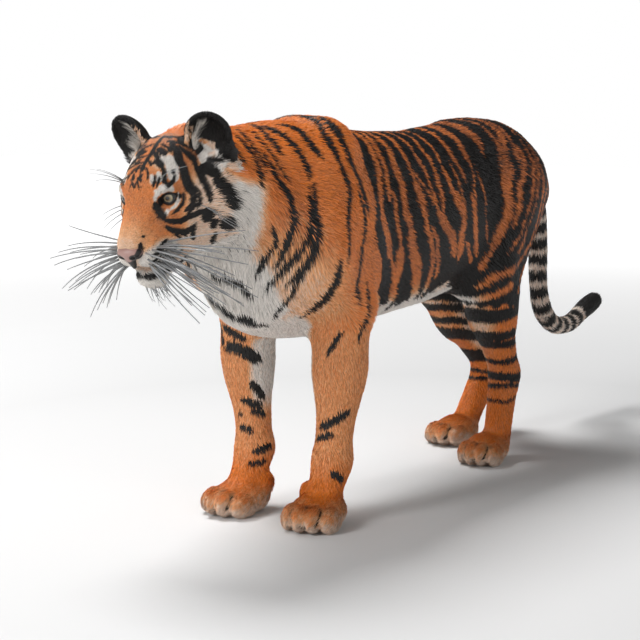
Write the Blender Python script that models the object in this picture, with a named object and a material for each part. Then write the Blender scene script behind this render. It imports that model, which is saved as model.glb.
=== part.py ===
"""A life-size Sumatran tiger, standing with its head low and one hind leg stepping forward.

The animal is one blended form: trunk, neck, head, limbs and tail are distance fields of rounded cones,
ellipsoids and a lofted rib cage, joined smoothly, meshed by OpenVDB, reduced, and parted by thin flat cuts
at the joints, so that each sub-part is a closed solid of its own. The eyes are balls in their sockets.

Frame: metres, +Z up, -Y ahead (the nose), +X the tiger's left, origin on the floor under the middle.
Limb and body places are written ahead of the trunk's own middle; MIDDLE moves that to the origin.
"""

import math

import bmesh
import bpy
import numpy as np
import openvdb
from mathutils import Matrix

# Driving sizes (metres)
VOXEL = 0.004
TRIANGLES_BEFORE_CUTS = 4300
CUT = 0.0006  # gap between two neighbouring sub-parts
FLOOR_FLAT = 0.0  # height of the flat soles
SOLE_SNAP = 0.0025  # points this low lie in the flat sole
MIDDLE = (0.0, -0.1105)  # (left, ahead) of the origin, in the trunk's own places

# The head: midway between the eyes, and how it is carried
EYES_AT = (-0.004, 0.762, 0.662)
HEAD_TURN, HEAD_NOD, HEAD_TILT = 7.0, 24.0, 2.5  # degrees: nose to its left, nose down, left eye up
EYE_SIDE, EYE_DEPTH, EYE_RADIUS = 0.0435, 0.0075, 0.0150
NOSE_AT, NOSE_RADII = (0.0, 0.0895, -0.0500), (0.0190, 0.0130, 0.0125)


def at(left, ahead, up):
    """A place given as left, ahead and up of the trunk's middle on the floor."""
    return np.array([left - MIDDLE[0], MIDDLE[1] - ahead, up])


def mix(a, b, share):
    return a + (b - a) * share


def smooth_min(a, b, blend):
    """The smaller of two distances, rounded over where they are within blend of each other."""
    near = np.maximum(blend - np.abs(a - b), 0.0) / blend
    return np.minimum(a, b) - near * near * blend / 4


# ---------------------------------------------------------------- the distance field


class Field:
    """A distance field on a grid. Each form added is worked out only in its own box."""

    def __init__(self, low, high, step):
        self.low, self.step = np.array(low), step
        self.shape = tuple(int(n) for n in np.ceil((np.array(high) - low) / step))
        self.values = np.full(self.shape, 0.1, np.float32)

    def window(self, low, high, margin):
        """The slices of the grid that hold a box, and its points."""
        first = np.floor((np.array(low) - margin - self.low) / self.step).astype(int)
        last = np.ceil((np.array(high) + margin - self.low) / self.step).astype(int)
        first, last = np.clip(first, 0, self.shape), np.clip(last, 0, self.shape)
        axes = [self.low[k] + self.step * np.arange(first[k], last[k]) for k in range(3)]
        points = np.stack(np.meshgrid(*axes, indexing="ij"), axis=-1)
        return tuple(slice(a, b) for a, b in zip(first, last)), points

    def add(self, form, blend):
        distance, low, high = form
        where, points = self.window(low, high, blend + 3 * self.step)
        self.values[where] = smooth_min(self.values[where], distance(points), blend)

    def carve(self, form, blend):
        distance, low, high = form
        where, points = self.window(low, high, blend + 3 * self.step)
        self.values[where] = -smooth_min(-self.values[where], distance(points), blend)

    def mesh(self):
        """(points, quads) of the surface."""
        grid = openvdb.FloatGrid(background=0.1)
        grid.copyFromArray(self.values)
        points, quads = grid.convertToQuads(isovalue=0.0)
        return points * self.step + self.low, quads[:, ::-1]


def cone(a, b, radius_a, radius_b):
    """A rounded cone from a to b: two balls and the cone that touches both."""
    a, b = np.array(a), np.array(b)
    line = b - a
    length = float(np.linalg.norm(line))
    line = line / length
    slope = (radius_a - radius_b) / length
    rise = math.sqrt(max(1 - slope * slope, 1e-6))

    def distance(p):
        along = (p - a) @ line
        out = np.sqrt(np.maximum(((p - a) ** 2).sum(-1) - along**2, 0.0))
        foot = np.clip((along + out * slope / rise) / length, 0.0, 1.0)
        to_axis = np.sqrt((along - foot * length) ** 2 + out**2)
        return to_axis - mix(radius_a, radius_b, foot)

    widest = max(radius_a, radius_b)
    return distance, np.minimum(a, b) - widest, np.maximum(a, b) + widest


def ball(centre, radii, turn=None):
    """An ellipsoid. turn's columns are the directions of its three radii."""
    centre, radii = np.array(centre), np.array(radii, float)
    turn = np.eye(3) if turn is None else np.array(turn)

    def distance(p):
        q = (p - centre) @ turn
        inner = np.sqrt(((q / radii) ** 2).sum(-1))
        outer = np.sqrt(((q / radii**2) ** 2).sum(-1))
        return inner * (inner - 1.0) / np.maximum(outer, 1e-9)

    reach = np.abs(turn) @ radii
    return distance, centre - reach, centre + reach


def facing(ahead, up):
    """Columns: left, back and up of a form whose front points along ahead."""
    back = -np.array(ahead) / np.linalg.norm(ahead)
    left = np.cross(back, up)
    left /= np.linalg.norm(left)
    return np.stack([left, back, np.cross(left, back)], axis=1)


def chain(field, places, radii, blend):
    """Rounded cones end to end."""
    for a, b, ra, rb in zip(places, places[1:], radii, radii[1:]):
        field.add(cone(a, b, ra, rb), blend)


# ---------------------------------------------------------------- trunk

# (ahead, half width, top, bottom) of the trunk's rings, breast to buttock
TRUNK_RINGS = (
    (0.585, 0.010, 0.580, 0.540),
    (0.570, 0.045, 0.640, 0.470),
    (0.535, 0.085, 0.700, 0.428),
    (0.475, 0.116, 0.750, 0.400),
    (0.400, 0.130, 0.775, 0.382),
    (0.320, 0.140, 0.785, 0.368),
    (0.200, 0.150, 0.780, 0.360),
    (0.080, 0.156, 0.762, 0.369),
    (-0.080, 0.156, 0.768, 0.379),
    (-0.220, 0.142, 0.781, 0.403),
    (-0.340, 0.126, 0.784, 0.455),
    (-0.440, 0.112, 0.776, 0.500),
    (-0.520, 0.088, 0.742, 0.530),
    (-0.590, 0.055, 0.690, 0.580),
)
RING_SOFTENING = 0.035


def trunk_form():
    """The loft: at each place along, an ellipse fuller at the flanks than at the spine."""
    rings = np.array(TRUNK_RINGS)
    along = np.linspace(-0.70, 0.62, 265)
    spread = np.exp(-(np.linspace(-2, 2, 33) ** 2) * (0.005 * 8 / RING_SOFTENING) ** 2)
    columns = []
    for k in (1, 2, 3):
        values = np.interp(along, rings[::-1, 0], rings[::-1, k])
        padded = np.pad(values, 16, mode="edge")
        columns.append(np.convolve(padded, spread / spread.sum(), mode="valid"))

    def distance(p):
        ahead = MIDDLE[1] - p[..., 1]
        width, top, bottom = (np.interp(ahead, along, c) for c in columns)
        half = (top - bottom) / 2
        up = (p[..., 2] - (top + bottom) / 2) / half
        side = (p[..., 0] + MIDDLE[0]) / width / (1.0 - 0.10 * up - 0.06 * up * up)
        inside = np.sqrt(side**2 + up**2)
        flank = (inside - 1.0) * np.minimum(width, half) * 0.95
        front = ahead - rings[0, 0]
        rear = rings[-1, 0] - ahead
        return np.maximum(flank, np.maximum(front, rear))

    low = at(-0.18, rings[0, 0], 0.35)
    high = at(0.18, rings[-1, 0], 0.82)
    return distance, low, high


def add_trunk(field):
    field.add(trunk_form(), 0.02)
    field.add(ball(at(0, 0.465, 0.52), (0.100, 0.080, 0.110)), 0.06)  # breast
    field.add(ball(at(0, 0.36, 0.43), (0.060, 0.110, 0.055)), 0.06)  # brisket
    for side in (-1, 1):
        field.add(ball(at(side * 0.052, -0.355, 0.724), (0.050, 0.095, 0.050)), 0.06)  # croup
        field.add(ball(at(side * 0.052, -0.530, 0.635), (0.042, 0.052, 0.066)), 0.05)  # seat bone
        field.add(ball(at(side * 0.050, 0.080, 0.708), (0.045, 0.150, 0.045)), 0.05)  # loin muscle


# ---------------------------------------------------------------- neck and head

NECK_BASE, NECK_CREST = at(0.0, 0.40, 0.630), at(0.0, 0.42, 0.700)


def head_matrix():
    """Turns the head's own left, back and up into the world's."""
    turn = Matrix.Rotation(math.radians(HEAD_TURN), 3, "Z")
    nod = Matrix.Rotation(math.radians(HEAD_NOD), 3, "X")
    tilt = Matrix.Rotation(math.radians(-HEAD_TILT), 3, "Y")
    return np.array(turn @ nod @ tilt)


HEAD = head_matrix()


def face(left, ahead, up):
    """A place in the head's own frame: left, ahead and up of midway between the eyes."""
    return at(*EYES_AT) + HEAD @ np.array([left, -ahead, up])


def add_neck(field):
    nape, throat = face(0, -0.150, 0.004), face(0, -0.130, -0.060)
    field.add(cone(nape, NECK_CREST, 0.070, 0.084), 0.06)
    field.add(cone(throat, NECK_BASE, 0.080, 0.120), 0.07)
    for side in (-1, 1):
        field.add(cone(face(side * 0.070, -0.140, -0.060), at(side * 0.085, 0.43, 0.60), 0.070, 0.085), 0.07)


def add_head(field):
    def put(centre, radii, blend, ahead=(0, -1, 0), up=(0, 0, 1)):
        field.add(ball(face(*centre), radii, HEAD @ facing(ahead, up)), blend)

    put((0, -0.082, 0.002), (0.074, 0.096, 0.078), 0.025)  # braincase
    put((0, -0.014, 0.020), (0.044, 0.050, 0.034), 0.025)  # forehead
    field.add(cone(face(0, 0.020, -0.045), face(0, 0.060, -0.068), 0.042, 0.032), 0.025)  # muzzle
    put((0, 0.044, -0.119), (0.026, 0.032, 0.025), 0.016)  # chin
    for side in (-1, 1):
        bridge = cone(face(side * 0.010, 0.000, 0.000), face(side * 0.0075, 0.080, -0.044), 0.027, 0.0165)
        field.add(bridge, 0.02)
        put((side * 0.0185, 0.060, -0.071), (0.0255, 0.030, 0.027), 0.012)  # whisker pad
        put((side * 0.027, 0.028, -0.057), (0.021, 0.033, 0.024), 0.02)  # side of the muzzle
        put((side * 0.036, 0.002, -0.078), (0.027, 0.040, 0.028), 0.02)  # corner of the mouth
        jaw = cone(face(side * 0.018, 0.034, -0.110), face(side * 0.056, -0.070, -0.085), 0.024, 0.044)
        field.add(jaw, 0.025)
        put((side * 0.056, -0.055, -0.040), (0.036, 0.056, 0.048), 0.025)  # cheek bone
        put((side * 0.080, -0.096, -0.064), (0.044, 0.050, 0.070), 0.03)  # ruff
        put((side * 0.036, -0.002, 0.020), (0.019, 0.020, 0.013), 0.014)  # brow
        put((side * 0.040, 0.000, -0.026), (0.022, 0.024, 0.020), 0.02)  # under the eye
    for side in (-1, 1):
        socket = face(side * (EYE_SIDE + 0.003), 0.010, 0.000)
        field.carve(ball(socket, (0.0155, 0.014, 0.0105), HEAD), 0.008)


def add_ears(field):
    """Each ear is a thick cup: an upright oval dished from the front."""
    for side in (-1, 1):
        root = face(side * 0.072, -0.116, 0.038)
        tip = face(side * 0.094, -0.110, 0.096)
        opens = HEAD @ np.array([side * 0.31, -0.95, 0.0])
        turn = facing(opens, tip - root)
        middle = mix(root, tip, 0.45)
        field.add(ball(middle, (0.045, 0.023, 0.048), turn), 0.012)
        field.add(ball(face(side * 0.084, -0.132, 0.028), (0.032, 0.028, 0.038), HEAD), 0.015)
        hollow = middle + opens * 0.018 + HEAD @ np.array([0, 0, 0.004])
        field.carve(ball(hollow, (0.036, 0.024, 0.039), turn), 0.006)


# ---------------------------------------------------------------- limbs


def add_foreleg(field, side, wrist, paw):
    """Shoulder blade, upper arm, forearm and wrist. wrist and paw are (left, ahead, up)."""
    blade = at(side * 0.050, 0.285, 0.745)
    point = at(side * 0.112, 0.430, 0.545)
    elbow = at(side * 0.124, 0.325, 0.430)
    wrist, paw = at(*wrist), at(*paw)
    field.add(cone(blade, point, 0.050, 0.070), 0.06)
    field.add(cone(point, elbow, 0.072, 0.054), 0.05)
    field.add(ball(at(side * 0.115, 0.300, 0.545), (0.052, 0.080, 0.120)), 0.05)  # triceps
    field.add(cone(elbow, wrist, 0.053, 0.037), 0.03)
    field.add(ball(mix(elbow, wrist, 0.34) + [0, -0.004, 0], (0.050, 0.054, 0.098)), 0.04)  # forearm muscle
    elbow_point = cone(elbow + [0, 0.028, 0.010], elbow + [0, 0.012, -0.05], 0.026, 0.028)
    field.add(elbow_point, 0.03)
    field.add(ball(wrist, (0.036, 0.037, 0.045)), 0.02)
    field.add(cone(wrist, mix(wrist, paw, 0.75), 0.037, 0.038), 0.02)
    dewclaw = paw + [-side * 0.031, 0.045, 0.060]
    field.add(ball(dewclaw, (0.020, 0.021, 0.026)), 0.008)


def add_hindleg(field, side, knee, hock, paw):
    """Thigh, shank, hock and the long foot."""
    hip = at(side * 0.080, -0.395, 0.640)
    knee, hock, joint = at(*knee), at(*hock), at(paw[0], paw[1] - 0.052, 0.040)
    field.add(cone(hip, knee, 0.100, 0.062), 0.07)
    field.add(cone(at(side * 0.070, -0.488, 0.610), mix(knee, hock, 0.35), 0.058, 0.047), 0.06)  # ham
    field.add(cone(knee, hock, 0.060, 0.035), 0.04)
    field.add(ball(mix(knee, hock, 0.30) + [0, 0.014, 0], (0.046, 0.052, 0.080)), 0.04)  # calf
    field.add(cone(hock + [0, 0.008, 0.008], mix(hock, joint, 0.4), 0.024, 0.027), 0.025)  # heel bone
    field.add(cone(hock, joint, 0.034, 0.034), 0.02)


def add_paw(field, centre, heading, width):
    """Four toes round a broad pad. heading is in degrees to the tiger's left of straight ahead."""
    turn = math.radians(heading)
    ahead = np.array([math.sin(turn), -math.cos(turn), 0.0])
    left = np.array([math.cos(turn), math.sin(turn), 0.0])
    middle = at(*centre)
    basis = facing(ahead, (0, 0, 1))
    field.add(ball(middle - ahead * 0.012 + [0, 0, 0.030], (width * 0.47, 0.058, 0.036), basis), 0.015)
    for place in (-1.5, -0.5, 0.5, 1.5):
        reach, lift = (0.046, 0.028) if abs(place) < 1 else (0.028, 0.024)
        toe = middle + left * place * width * 0.235 + ahead * reach
        field.add(ball(toe + [0, 0, lift], (width * 0.150, 0.036, 0.028), basis), 0.008)


def flatten_soles(field):
    """Cuts the whole form off at the floor."""
    where, points = field.window(at(-0.3, 0.7, 0.0), at(0.3, -0.7, 0.0), 0.02)
    field.values[where] = np.maximum(field.values[where], FLOOR_FLAT - points[..., 2])


FORE_LEFT = dict(wrist=(0.108, 0.345, 0.125), paw=(0.112, 0.405, 0.0))
FORE_RIGHT = dict(wrist=(-0.091, 0.338, 0.125), paw=(-0.090, 0.395, 0.0))
HIND_LEFT = dict(knee=(0.104, -0.260, 0.440), hock=(0.092, -0.385, 0.198), paw=(0.092, -0.300, 0.0))
HIND_RIGHT = dict(knee=(-0.098, -0.400, 0.400), hock=(-0.074, -0.605, 0.172), paw=(-0.079, -0.447, 0.0))

# ---------------------------------------------------------------- tail

TAIL_PLACES = (
    (0.0, -0.540, 0.700),
    (0.0, -0.640, 0.650),
    (0.0, -0.695, 0.560),
    (0.0, -0.715, 0.460),
    (0.0, -0.722, 0.365),
    (0.0, -0.750, 0.297),
    (0.0, -0.812, 0.255),
    (0.0, -0.895, 0.249),
    (0.0, -0.972, 0.274),
    (0.0, -1.040, 0.294),
)
TAIL_RADII = (0.034, 0.033, 0.026, 0.022, 0.0205, 0.019, 0.018, 0.0175, 0.0185, 0.0195)


def smooth_path(places, steps):
    """Points on a Catmull-Rom curve through places."""
    p = np.array(places)
    p = np.vstack([2 * p[0] - p[1], p, 2 * p[-1] - p[-2]])
    t = np.linspace(0, 1, steps, endpoint=False)[:, None]
    runs = []
    for a, b, c, d in zip(p, p[1:], p[2:], p[3:]):
        runs.append(b + 0.5 * t * (c - a + t * (2 * a - 5 * b + 4 * c - d + t * (3 * (b - c) + d - a))))
    return np.vstack(runs + [p[-2:-1]])


def add_tail(field):
    path = smooth_path([(*at(*place), radius) for place, radius in zip(TAIL_PLACES, TAIL_RADII)], 4)
    chain(field, path[:, :3], path[:, 3], 0.006)


# ---------------------------------------------------------------- the whole form


def whole_form():
    field = Field(at(-0.30, 0.98, -0.02), at(0.30, -1.14, 0.86), VOXEL)
    add_trunk(field)
    add_neck(field)
    add_tail(field)
    add_foreleg(field, 1, **FORE_LEFT)
    add_foreleg(field, -1, **FORE_RIGHT)
    add_hindleg(field, 1, **HIND_LEFT)
    add_hindleg(field, -1, **HIND_RIGHT)
    add_paw(field, FORE_LEFT["paw"], 14, 0.118)
    add_paw(field, FORE_RIGHT["paw"], -4, 0.118)
    add_paw(field, HIND_LEFT["paw"], 8, 0.104)
    add_paw(field, HIND_RIGHT["paw"], -6, 0.104)
    add_head(field)
    add_ears(field)
    flatten_soles(field)
    return field


# ---------------------------------------------------------------- meshes


def new_object(name, vertices, faces):
    mesh = bpy.data.meshes.new(name)
    mesh.from_pydata([tuple(v) for v in vertices], [], [tuple(f) for f in faces])
    obj = bpy.data.objects.new(name, mesh)
    bpy.context.scene.collection.objects.link(obj)
    return obj


def as_cutter(obj):
    obj.hide_render = True
    obj.display_type = "WIRE"
    return obj


def evaluated(obj):
    """The object's mesh after its modifiers."""
    bpy.context.view_layer.update()
    graph = bpy.context.evaluated_depsgraph_get()
    return bpy.data.meshes.new_from_object(obj.evaluated_get(graph))


def reduced(obj, triangles):
    """obj brought down to so many triangles, keeping the face, the ears and the toes finest."""
    points = np.array([v.co for v in obj.data.vertices])
    head = 1 - np.clip((np.linalg.norm(points - face(0, -0.01, -0.02), axis=1) - 0.10) / 0.10, 0, 1)
    toes = 1 - np.clip((points[:, 2] - 0.05) / 0.04, 0, 1)
    keep = np.maximum(0.7 * head, 0.4 * toes)
    group = obj.vertex_groups.new(name="keep")
    for level in np.linspace(0.1, 1.0, 10):
        chosen = np.nonzero(np.round(keep * 10) == round(level * 10))[0]
        group.add(chosen.tolist(), float(level), "REPLACE")
    decimate = obj.modifiers.new("fewer", "DECIMATE")
    decimate.ratio = triangles / (2 * len(obj.data.polygons))
    decimate.vertex_group, decimate.vertex_group_factor = "keep", 0.05
    decimate.invert_vertex_group = True
    mesh = evaluated(obj)
    bpy.data.objects.remove(obj)
    for vertex in mesh.vertices:
        if vertex.co.z < SOLE_SNAP:
            vertex.co.z = FLOOR_FLAT
    return mesh


def plate(centre, normal, half_wide, half_high=None, across=(1, 0, 0)):
    """A thin flat cutter: a square, or a rectangle whose first side runs across."""
    centre, normal = np.array(centre), np.array(normal) / np.linalg.norm(normal)
    wide = np.array(across) - normal * (np.array(across) @ normal)
    wide /= np.linalg.norm(wide)
    high = np.cross(normal, wide)
    corners = [
        centre + normal * n * CUT / 2 + wide * w * half_wide + high * h * (half_high or half_wide)
        for n in (-1, 1)
        for w, h in ((-1, -1), (1, -1), (1, 1), (-1, 1))
    ]
    sides = [(0, 3, 2, 1), (4, 5, 6, 7)] + [(k, (k + 1) % 4, 4 + (k + 1) % 4, 4 + k) for k in range(4)]
    return as_cutter(new_object("plate", corners, sides))


def curtain(low, high, path_low, path_high):
    """A thin folded cutter standing between two heights. Each path is a list of (left, ahead)."""
    layers = []
    for height, path in ((low, path_low), (high, path_high)):
        path = np.array(path)
        along = np.gradient(path, axis=0)
        out = np.stack([-along[:, 1], along[:, 0]], axis=1)
        out *= CUT / 2 / np.linalg.norm(out, axis=1)[:, None]
        for edge in (path - out, path + out):
            layers.append([at(x, ahead, height) for x, ahead in edge])
    n = len(path_low)
    vertices = [v for layer in layers for v in layer]
    near, far, near_top, far_top = 0, n, 2 * n, 3 * n
    faces = [(near, far, far_top, near_top), (near + n - 1, near_top + n - 1, far_top + n - 1, far + n - 1)]
    for k in range(n - 1):
        faces += [
            (near + k, near_top + k, near_top + k + 1),
            (near + k, near_top + k + 1, near + k + 1),
            (far + k, far_top + k + 1, far_top + k),
            (far + k, far + k + 1, far_top + k + 1),
            (near + k, near + k + 1, far + k + 1, far + k),
            (near_top + k, far_top + k, far_top + k + 1, near_top + k + 1),
        ]
    obj = new_object("curtain", vertices, faces)
    shape = bmesh.new()
    shape.from_mesh(obj.data)
    bmesh.ops.recalc_face_normals(shape, faces=shape.faces[:])
    shape.to_mesh(obj.data)
    shape.free()
    return as_cutter(obj)


def cut_away(obj, cutter):
    """obj without what the cutter covers."""
    boolean = obj.modifiers.new("cut", "BOOLEAN")
    boolean.operation, boolean.solver, boolean.object = "DIFFERENCE", "EXACT", cutter
    mesh = evaluated(obj)
    obj.modifiers.remove(boolean)
    obj.data = mesh
    bpy.data.objects.remove(cutter)


def loose_parts(mesh):
    """The mesh's separate pieces, each a list of its faces."""
    shape = bmesh.new()
    shape.from_mesh(mesh)
    shape.faces.ensure_lookup_table()
    seen, pieces = set(), []
    for first in shape.faces:
        if first.index in seen:
            continue
        seen.add(first.index)
        piece, edge = [], [first]
        while edge:
            one = edge.pop()
            piece.append([tuple(v.co) for v in one.verts])
            for side in one.edges:
                for other in side.link_faces:
                    if other.index not in seen:
                        seen.add(other.index)
                        edge.append(other)
        pieces.append(piece)
    shape.free()
    return pieces


def from_faces(name, piece):
    """A new object from a list of faces, each a list of corner places."""
    index = {}
    faces = [[index.setdefault(corner, len(index)) for corner in corners] for corners in piece]
    return new_object(name, list(index), faces)


def part_off(obj, cutter, name, near):
    """Cuts obj in two. The piece nearest the given place becomes a new object, the other stays obj."""
    cut_away(obj, cutter)
    pieces = loose_parts(obj.data)
    if len(pieces) != 2:
        raise ValueError(f"the cut for {name} made {len(pieces)} pieces")
    reach = [min(np.linalg.norm(np.mean(c, axis=0) - near) for c in piece) for piece in pieces]
    taken = int(np.argmin(reach))
    rest = from_faces(obj.name + "_rest", pieces[1 - taken])
    obj.data = rest.data
    bpy.data.objects.remove(rest)
    return from_faces(name, pieces[taken])


def ellipsoid(name, centre, radii, turn, segments, rings, grow=0.0):
    bpy.ops.mesh.primitive_uv_sphere_add(segments=segments, ring_count=rings, radius=1.0)
    obj = bpy.context.object
    obj.name = name
    matrix = Matrix.Translation(centre) @ Matrix(turn.tolist()).to_4x4()
    obj.data.transform(matrix @ Matrix.Diagonal([*(r + grow for r in radii), 1.0]))
    obj.location = (0, 0, 0)
    return obj


# ---------------------------------------------------------------- the sub-parts


for thing in list(bpy.data.objects):
    bpy.data.objects.remove(thing)

points, quads = whole_form().mesh()
whole = new_object("whole", points, quads)
body = bpy.data.objects.new("barrel", reduced(whole, TRIANGLES_BEFORE_CUTS))
bpy.context.scene.collection.objects.link(body)

# Head, jaw, ears, nose and eyes
head_end = plate(at(0, 0.628, 0.665), (0, -0.978, 0.207), 0.20, 0.15)
head = part_off(body, head_end, "head", face(0, 0.05, -0.05))
mouth = plate(face(0, 0.030, -0.1124), HEAD @ np.array([0, 0.42, 1.0]), 0.13)
part_off(head, mouth, "lower_jaw", face(0, 0.05, -0.135))
for side, name in ((1, "left"), (-1, "right")):
    ear_root = plate(face(side * 0.085, -0.118, 0.052), HEAD @ np.array([side * 0.6, 0, 0.8]), 0.075)
    part_off(head, ear_root, "ear_" + name, face(side * 0.095, -0.112, 0.09))
    eye_place = face(side * EYE_SIDE, -EYE_DEPTH, 0)
    eye_radii = [EYE_RADIUS] * 3
    cut_away(head, as_cutter(ellipsoid("socket", eye_place, eye_radii, HEAD, 14, 9, 0.0006)))
    ellipsoid("eye_" + name, eye_place, eye_radii, HEAD, 14, 9)
cut_away(head, as_cutter(ellipsoid("nostrils", face(*NOSE_AT), NOSE_RADII, HEAD, 14, 9, 0.0006)))
ellipsoid("nose", face(*NOSE_AT), NOSE_RADII, HEAD, 14, 9)

# Neck
neck_end = plate(at(0, 0.515, 0.64), (0, -1, 0.40), 0.30)
part_off(body, neck_end, "neck", at(0, 0.60, 0.62))

# Tail
beyond = at(0, -1.0, 0.28)
tail = part_off(body, plate(at(0, -0.665, 0.615), (0, 0.75, -1), 0.085), "tail_base", beyond)
tail = part_off(tail, plate(at(0, -0.713, 0.480), (0, 0.05, -1), 0.06), "tail_upper", beyond)
tail = part_off(tail, plate(at(0, -0.768, 0.280), (0, 1, -1), 0.06), "tail_bend", beyond)
part_off(tail, plate(at(0, -0.930, 0.258), (0, 1, 0.35), 0.06), "tail_tip", beyond)

# Legs, from the trunk down
SHOULDER_LOW = ((0.22, 0.500), (0.050, 0.480), (0.042, 0.220), (0.22, 0.170))
SHOULDER_HIGH = ((0.22, 0.430), (0.090, 0.400), (0.090, 0.200), (0.22, 0.150))
HIP_LOW = ((0.22, -0.200), (0.010, -0.205), (0.006, -0.700))
HIP_HIGH = ((0.22, -0.200), (0.085, -0.215), (0.070, -0.700))


def mirrored(path, side):
    return [(side * left, ahead) for left, ahead in path]


for side, name, fore, hind in ((1, "left", FORE_LEFT, HIND_LEFT), (-1, "right", FORE_RIGHT, HIND_RIGHT)):
    paw = at(*fore["paw"])
    wrist = fore["wrist"]
    armpit = curtain(0.345, 0.84, mirrored(SHOULDER_LOW, side), mirrored(SHOULDER_HIGH, side))
    leg = part_off(body, armpit, "shoulder_" + name, paw)
    leg = part_off(leg, plate(at(side * 0.124, 0.330, 0.372), (0, 0.1, 1), 0.20), "forearm_" + name, paw)
    part_off(leg, plate(at(wrist[0], wrist[1], 0.105), (0, 0, 1), 0.07), "forepaw_" + name, paw)

    paw = at(*hind["paw"])
    knee, hock = np.array(hind["knee"]), np.array(hind["hock"])
    instep = hind["paw"][1] - 0.045
    groin = curtain(0.340, 0.84, mirrored(HIP_LOW, side), mirrored(HIP_HIGH, side))
    leg = part_off(body, groin, "thigh_" + name, paw)
    leg = part_off(leg, plate(at(*mix(knee, hock, 0.35)), (0, -0.3, 1), 0.18), "shank_" + name, paw)
    hock_cut = plate(at(hock[0], hock[1], hock[2] + 0.008), (0, 0, 1), 0.10)
    leg = part_off(leg, hock_cut, "hind_foot_" + name, paw)
    part_off(leg, plate(at(hind["paw"][0], instep, 0.078), (0, 0.25, 1), 0.10), "hindpaw_" + name, paw)

# Trunk
part_off(body, plate(at(0, 0.110, 0.57), (0, -1, 0), 0.32), "chest", at(0, 0.30, 0.55))
part_off(body, plate(at(0, -0.170, 0.57), (0, -1, 0), 0.32), "croup", at(0, -0.45, 0.65))

# Finishes: (name, colour, roughness) of each sub-part's coat or surface
COATS = {
    "eye": ("wet eye", (0.55, 0.50, 0.26), 0.08),
    "nose": ("bare nose", (0.62, 0.34, 0.28), 0.45),
    "ear": ("black ear fur", (0.03, 0.026, 0.024), 0.8),
    "lower": ("white chin fur", (0.62, 0.58, 0.52), 0.8),
    "tail": ("ringed tail fur", (0.42, 0.30, 0.18), 0.8),
}
BODY_COAT = ("orange fur", (0.52, 0.22, 0.07), 0.8)


def finish(obj):
    """Gives a sub-part its own material and smooth shading that stops at the cuts."""
    name, colour, roughness = COATS.get(obj.name.split("_")[0], BODY_COAT)
    material = bpy.data.materials.new(f"{obj.name} {name}")
    material.use_nodes = True
    shader = material.node_tree.nodes["Principled BSDF"]
    shader.inputs["Base Color"].default_value = (*colour, 1.0)
    shader.inputs["Roughness"].default_value = roughness
    obj.data.materials.clear()
    obj.data.materials.append(material)
    obj.data.shade_smooth()
    obj.data.set_sharp_from_angle(angle=math.radians(50))


for obj in bpy.context.scene.objects:
    finish(obj)
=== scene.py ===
"""A life-size Sumatran tiger, head low, standing on four flat paws: the looks of a still museum model.

One skin replaces the solids of flesh. Eyes, nose, lid rims, whiskers and long ear hairs are pieces of their
own, and the coat is joined mesh tufts that follow the lie of the hair. The skin and the coat read the same
markings. Metres, +Z up, -Y ahead, +X the tiger's left.
"""

import math

import bmesh
import bpy
import numpy as np
import openvdb
from mathutils import Matrix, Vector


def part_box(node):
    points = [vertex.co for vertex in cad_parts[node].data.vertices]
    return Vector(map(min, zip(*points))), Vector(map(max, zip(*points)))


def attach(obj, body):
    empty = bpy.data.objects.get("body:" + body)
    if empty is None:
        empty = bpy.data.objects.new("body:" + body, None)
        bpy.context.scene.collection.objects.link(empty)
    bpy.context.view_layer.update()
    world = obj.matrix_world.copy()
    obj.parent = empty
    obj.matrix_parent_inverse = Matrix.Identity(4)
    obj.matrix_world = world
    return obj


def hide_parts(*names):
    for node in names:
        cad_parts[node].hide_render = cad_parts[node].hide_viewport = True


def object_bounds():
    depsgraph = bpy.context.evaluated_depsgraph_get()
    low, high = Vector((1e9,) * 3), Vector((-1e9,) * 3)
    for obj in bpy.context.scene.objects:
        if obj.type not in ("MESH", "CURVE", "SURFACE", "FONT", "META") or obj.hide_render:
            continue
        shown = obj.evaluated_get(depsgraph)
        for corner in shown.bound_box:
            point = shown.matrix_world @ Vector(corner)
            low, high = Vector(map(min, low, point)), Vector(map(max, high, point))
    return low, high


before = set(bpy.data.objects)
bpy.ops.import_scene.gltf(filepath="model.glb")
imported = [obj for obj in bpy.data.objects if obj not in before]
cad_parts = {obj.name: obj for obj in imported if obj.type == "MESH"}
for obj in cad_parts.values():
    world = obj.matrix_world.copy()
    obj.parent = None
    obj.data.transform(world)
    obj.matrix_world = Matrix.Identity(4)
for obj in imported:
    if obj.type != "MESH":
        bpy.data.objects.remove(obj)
cad_size = [list(corner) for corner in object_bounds()]

# ---------------------------------------------------------------- studio
# A pale paper floor that glows more the further out it lies, as painted light; a room that is white low down
# and grey above, and three soft lamps. The camera stands at the tiger's left front, a little above its back,
# and looks slightly down.

TRUNK_MIDDLE = -0.1105  # where the trunk's middle lies on Y; ahead is measured from it


def at(left, ahead, up):
    """A place given as left, ahead and up of the trunk's middle on the floor."""
    return np.array([left, TRUNK_MIDDLE - ahead, up])


def in_trunk(places):
    """World places as (left, ahead, up) of the trunk's middle on the floor."""
    return np.stack([places[:, 0], TRUNK_MIDDLE - places[:, 1], places[:, 2]], 1)


def sheet_mesh(name, places, faces):
    """A mesh object from arrays of places and faces, linked into the scene."""
    mesh = bpy.data.meshes.new(name)
    mesh.from_pydata(np.asarray(places).tolist(), [], np.asarray(faces).tolist())
    obj = bpy.data.objects.new(name, mesh)
    bpy.context.scene.collection.objects.link(obj)
    return obj


def linear(hex_colour, alpha=1.0):
    """An sRGB hex value turned to linear: v/12.92 below 0.04045, else ((v + 0.055) / 1.055) to the 2.4."""
    parts = [int(hex_colour[i : i + 2], 16) / 255 for i in (0, 2, 4)]
    return (*(v / 12.92 if v <= 0.04045 else ((v + 0.055) / 1.055) ** 2.4 for v in parts), alpha)


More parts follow.
